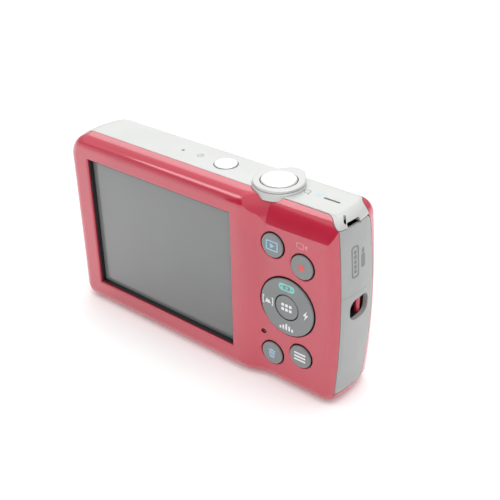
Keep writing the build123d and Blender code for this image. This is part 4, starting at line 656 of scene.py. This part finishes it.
def make_gap_shade_rings():
    """Painted shade: black rings deep in the gaps round the shutter button and the power button, and under
    the lever, where there is only shade.
    """
    lever_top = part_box("zoom_lever")[1].z
    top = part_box("top_cover")[1].z
    low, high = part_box("power_button")
    power_axis = (low + high) / 2
    shutter_radius = (shutter_high.x - shutter_low.x) / 2 / MM
    # Painted shade rings: name, size, radius, axis, level and the body each rides on
    rings = (
        ("shutter_gap_shade", SHUTTER_SHADE_RING, shutter_radius, shutter_axis, lever_top, "lever"),
        ("lever_gap_shade", LEVER_SHADE_RING, shutter_radius, shutter_axis, top, "lever"),
        ("power_gap_shade", POWER_SHADE_RING, POWER_CAP_RADIUS, power_axis, top - PLATFORM_HEIGHT, "body"),
    )
    for name, (inner, outer, bottom, crest), radius, axis, level, body in rings:
        profile = ring_profile(radius + inner, radius + outer, bottom, crest)
        lathe(name, profile, Vector((axis.x, axis.y, level)), UP, BLACK, body, "silver_paint")


make_key_marks()
make_pad_marks()
make_gap_shade_rings()
make_case_marks()
make_lens_rings()
make_tripod_thread()
make_grilles()


# Floor and light ------------------------------------------------------------------------------------
FLOOR_REACH, FLOOR_FLAT, FLOOR_CURL, FLOOR_CELLS = 3.0, 2.0, 0.25, 24
FLAG_CENTRE, FLAG_ACROSS, FLAG_WIDTH, FLAG_HEIGHT = (-0.045, -0.137, 0.082), (0.824, -0.567, 0), 0.056, 0.11
# Name, place, target, diameter in metres and power in watts
LIGHTS = (
    ("overhead", (0.1, 0.1, 1.3), (0, 0, 0), 1.2, 10),
    ("over_shoulder", (-0.66, -0.61, 0.79), (0, 0, 0.03), 0.36, 0.9),
    ("behind", (-0.83, 1.0, 0.76), (0, 0, 0.02), 1.1, 2.4),
)


def make_floor():
    """A wide pale floor, a grid whose rim curls up a little, far outside the view."""
    bm = bmesh.new()
    bmesh.ops.create_grid(bm, x_segments=FLOOR_CELLS, y_segments=FLOOR_CELLS, size=FLOOR_REACH)
    for vert in bm.verts:
        reach = max(0.0, vert.co.length - FLOOR_FLAT)
        vert.co.z = FLOOR_CURL * reach * reach
    mesh = bpy.data.meshes.new("floor")
    bm.to_mesh(mesh)
    bm.free()
    floor = bpy.data.objects.new("floor", mesh)
    scene.collection.objects.link(floor)
    g = Graph("floor_paper")
    colour = g.blend(g.spread(g.noise(4, 2.0), 0.0, 1.0), (0.90, 0.90, 0.90), (0.93, 0.93, 0.93))
    g.set(Emission_Color=(1.0, 1.0, 1.0), Emission_Strength=0.16)
    floor.data.materials.append(g.finish(colour, g.spread(g.noise(9), 0.7, 0.8)))


def make_flag():
    """A black card, hidden from the camera, whose reflection darkens the shoulder above the controls."""
    centre, across, up = Vector(FLAG_CENTRE), Vector(FLAG_ACROSS), Vector(UP)
    bm = bmesh.new()
    bmesh.ops.create_grid(bm, x_segments=4, y_segments=4, size=0.5)
    for vert in bm.verts:
        vert.co = centre + across * vert.co.x * FLAG_WIDTH + up * vert.co.y * FLAG_HEIGHT
    mesh = bpy.data.meshes.new("flag")
    bm.to_mesh(mesh)
    bm.free()
    mesh.materials.append(BLACK)
    flag = bpy.data.objects.new("flag", mesh)
    scene.collection.objects.link(flag)
    flag.visible_camera = False


def soft_light(name, place, aim, size, watts):
    """A round area light that faces its target."""
    data = bpy.data.lights.new(name, "AREA")
    data.shape, data.size, data.energy = "DISK", size, watts
    light = bpy.data.objects.new(name, data)
    scene.collection.objects.link(light)
    light.location = place
    light.rotation_mode = "QUATERNION"
    light.rotation_quaternion = (Vector(aim) - Vector(place)).to_track_quat("-Z", "Y")


# The studio's brightness by the sine of the height above the horizon: dim walls under a bright ceiling
WORLD_BANDS = (
    (0.0, (0.34, 0.34, 0.35)),
    (0.36, (0.42, 0.42, 0.43)),
    (0.52, (0.70, 0.70, 0.70)),
    (1.0, (0.85, 0.85, 0.85)),
)


def make_world():
    """The studio round the object, in the bands above."""
    world = bpy.data.worlds.new("studio")
    scene.world = world
    world.use_nodes = True
    nodes, links = world.node_tree.nodes, world.node_tree.links
    coords = nodes.new("ShaderNodeTexCoord")
    split = nodes.new("ShaderNodeSeparateXYZ")
    ramp = nodes.new("ShaderNodeValToRGB")
    links.new(coords.outputs["Generated"], split.inputs["Vector"])
    links.new(split.outputs["Z"], ramp.inputs["Fac"])
    stops = ramp.color_ramp.elements
    stops[0].position, stops[0].color = 0.0, (*WORLD_BANDS[0][1], 1)
    stops[1].position, stops[1].color = WORLD_BANDS[-1][0], (*WORLD_BANDS[-1][1], 1)
    for position, colour in WORLD_BANDS[1:-1]:
        stops.new(position).color = (*colour, 1)
    background = nodes["Background"]
    links.new(ramp.outputs["Color"], background.inputs["Color"])
    background.inputs["Strength"].default_value = 1.0


make_floor()
make_flag()
make_world()
for name, place, aim, size, watts in LIGHTS:
    soft_light(name, place, aim, size, watts)
scene.view_settings.view_transform = "Standard"
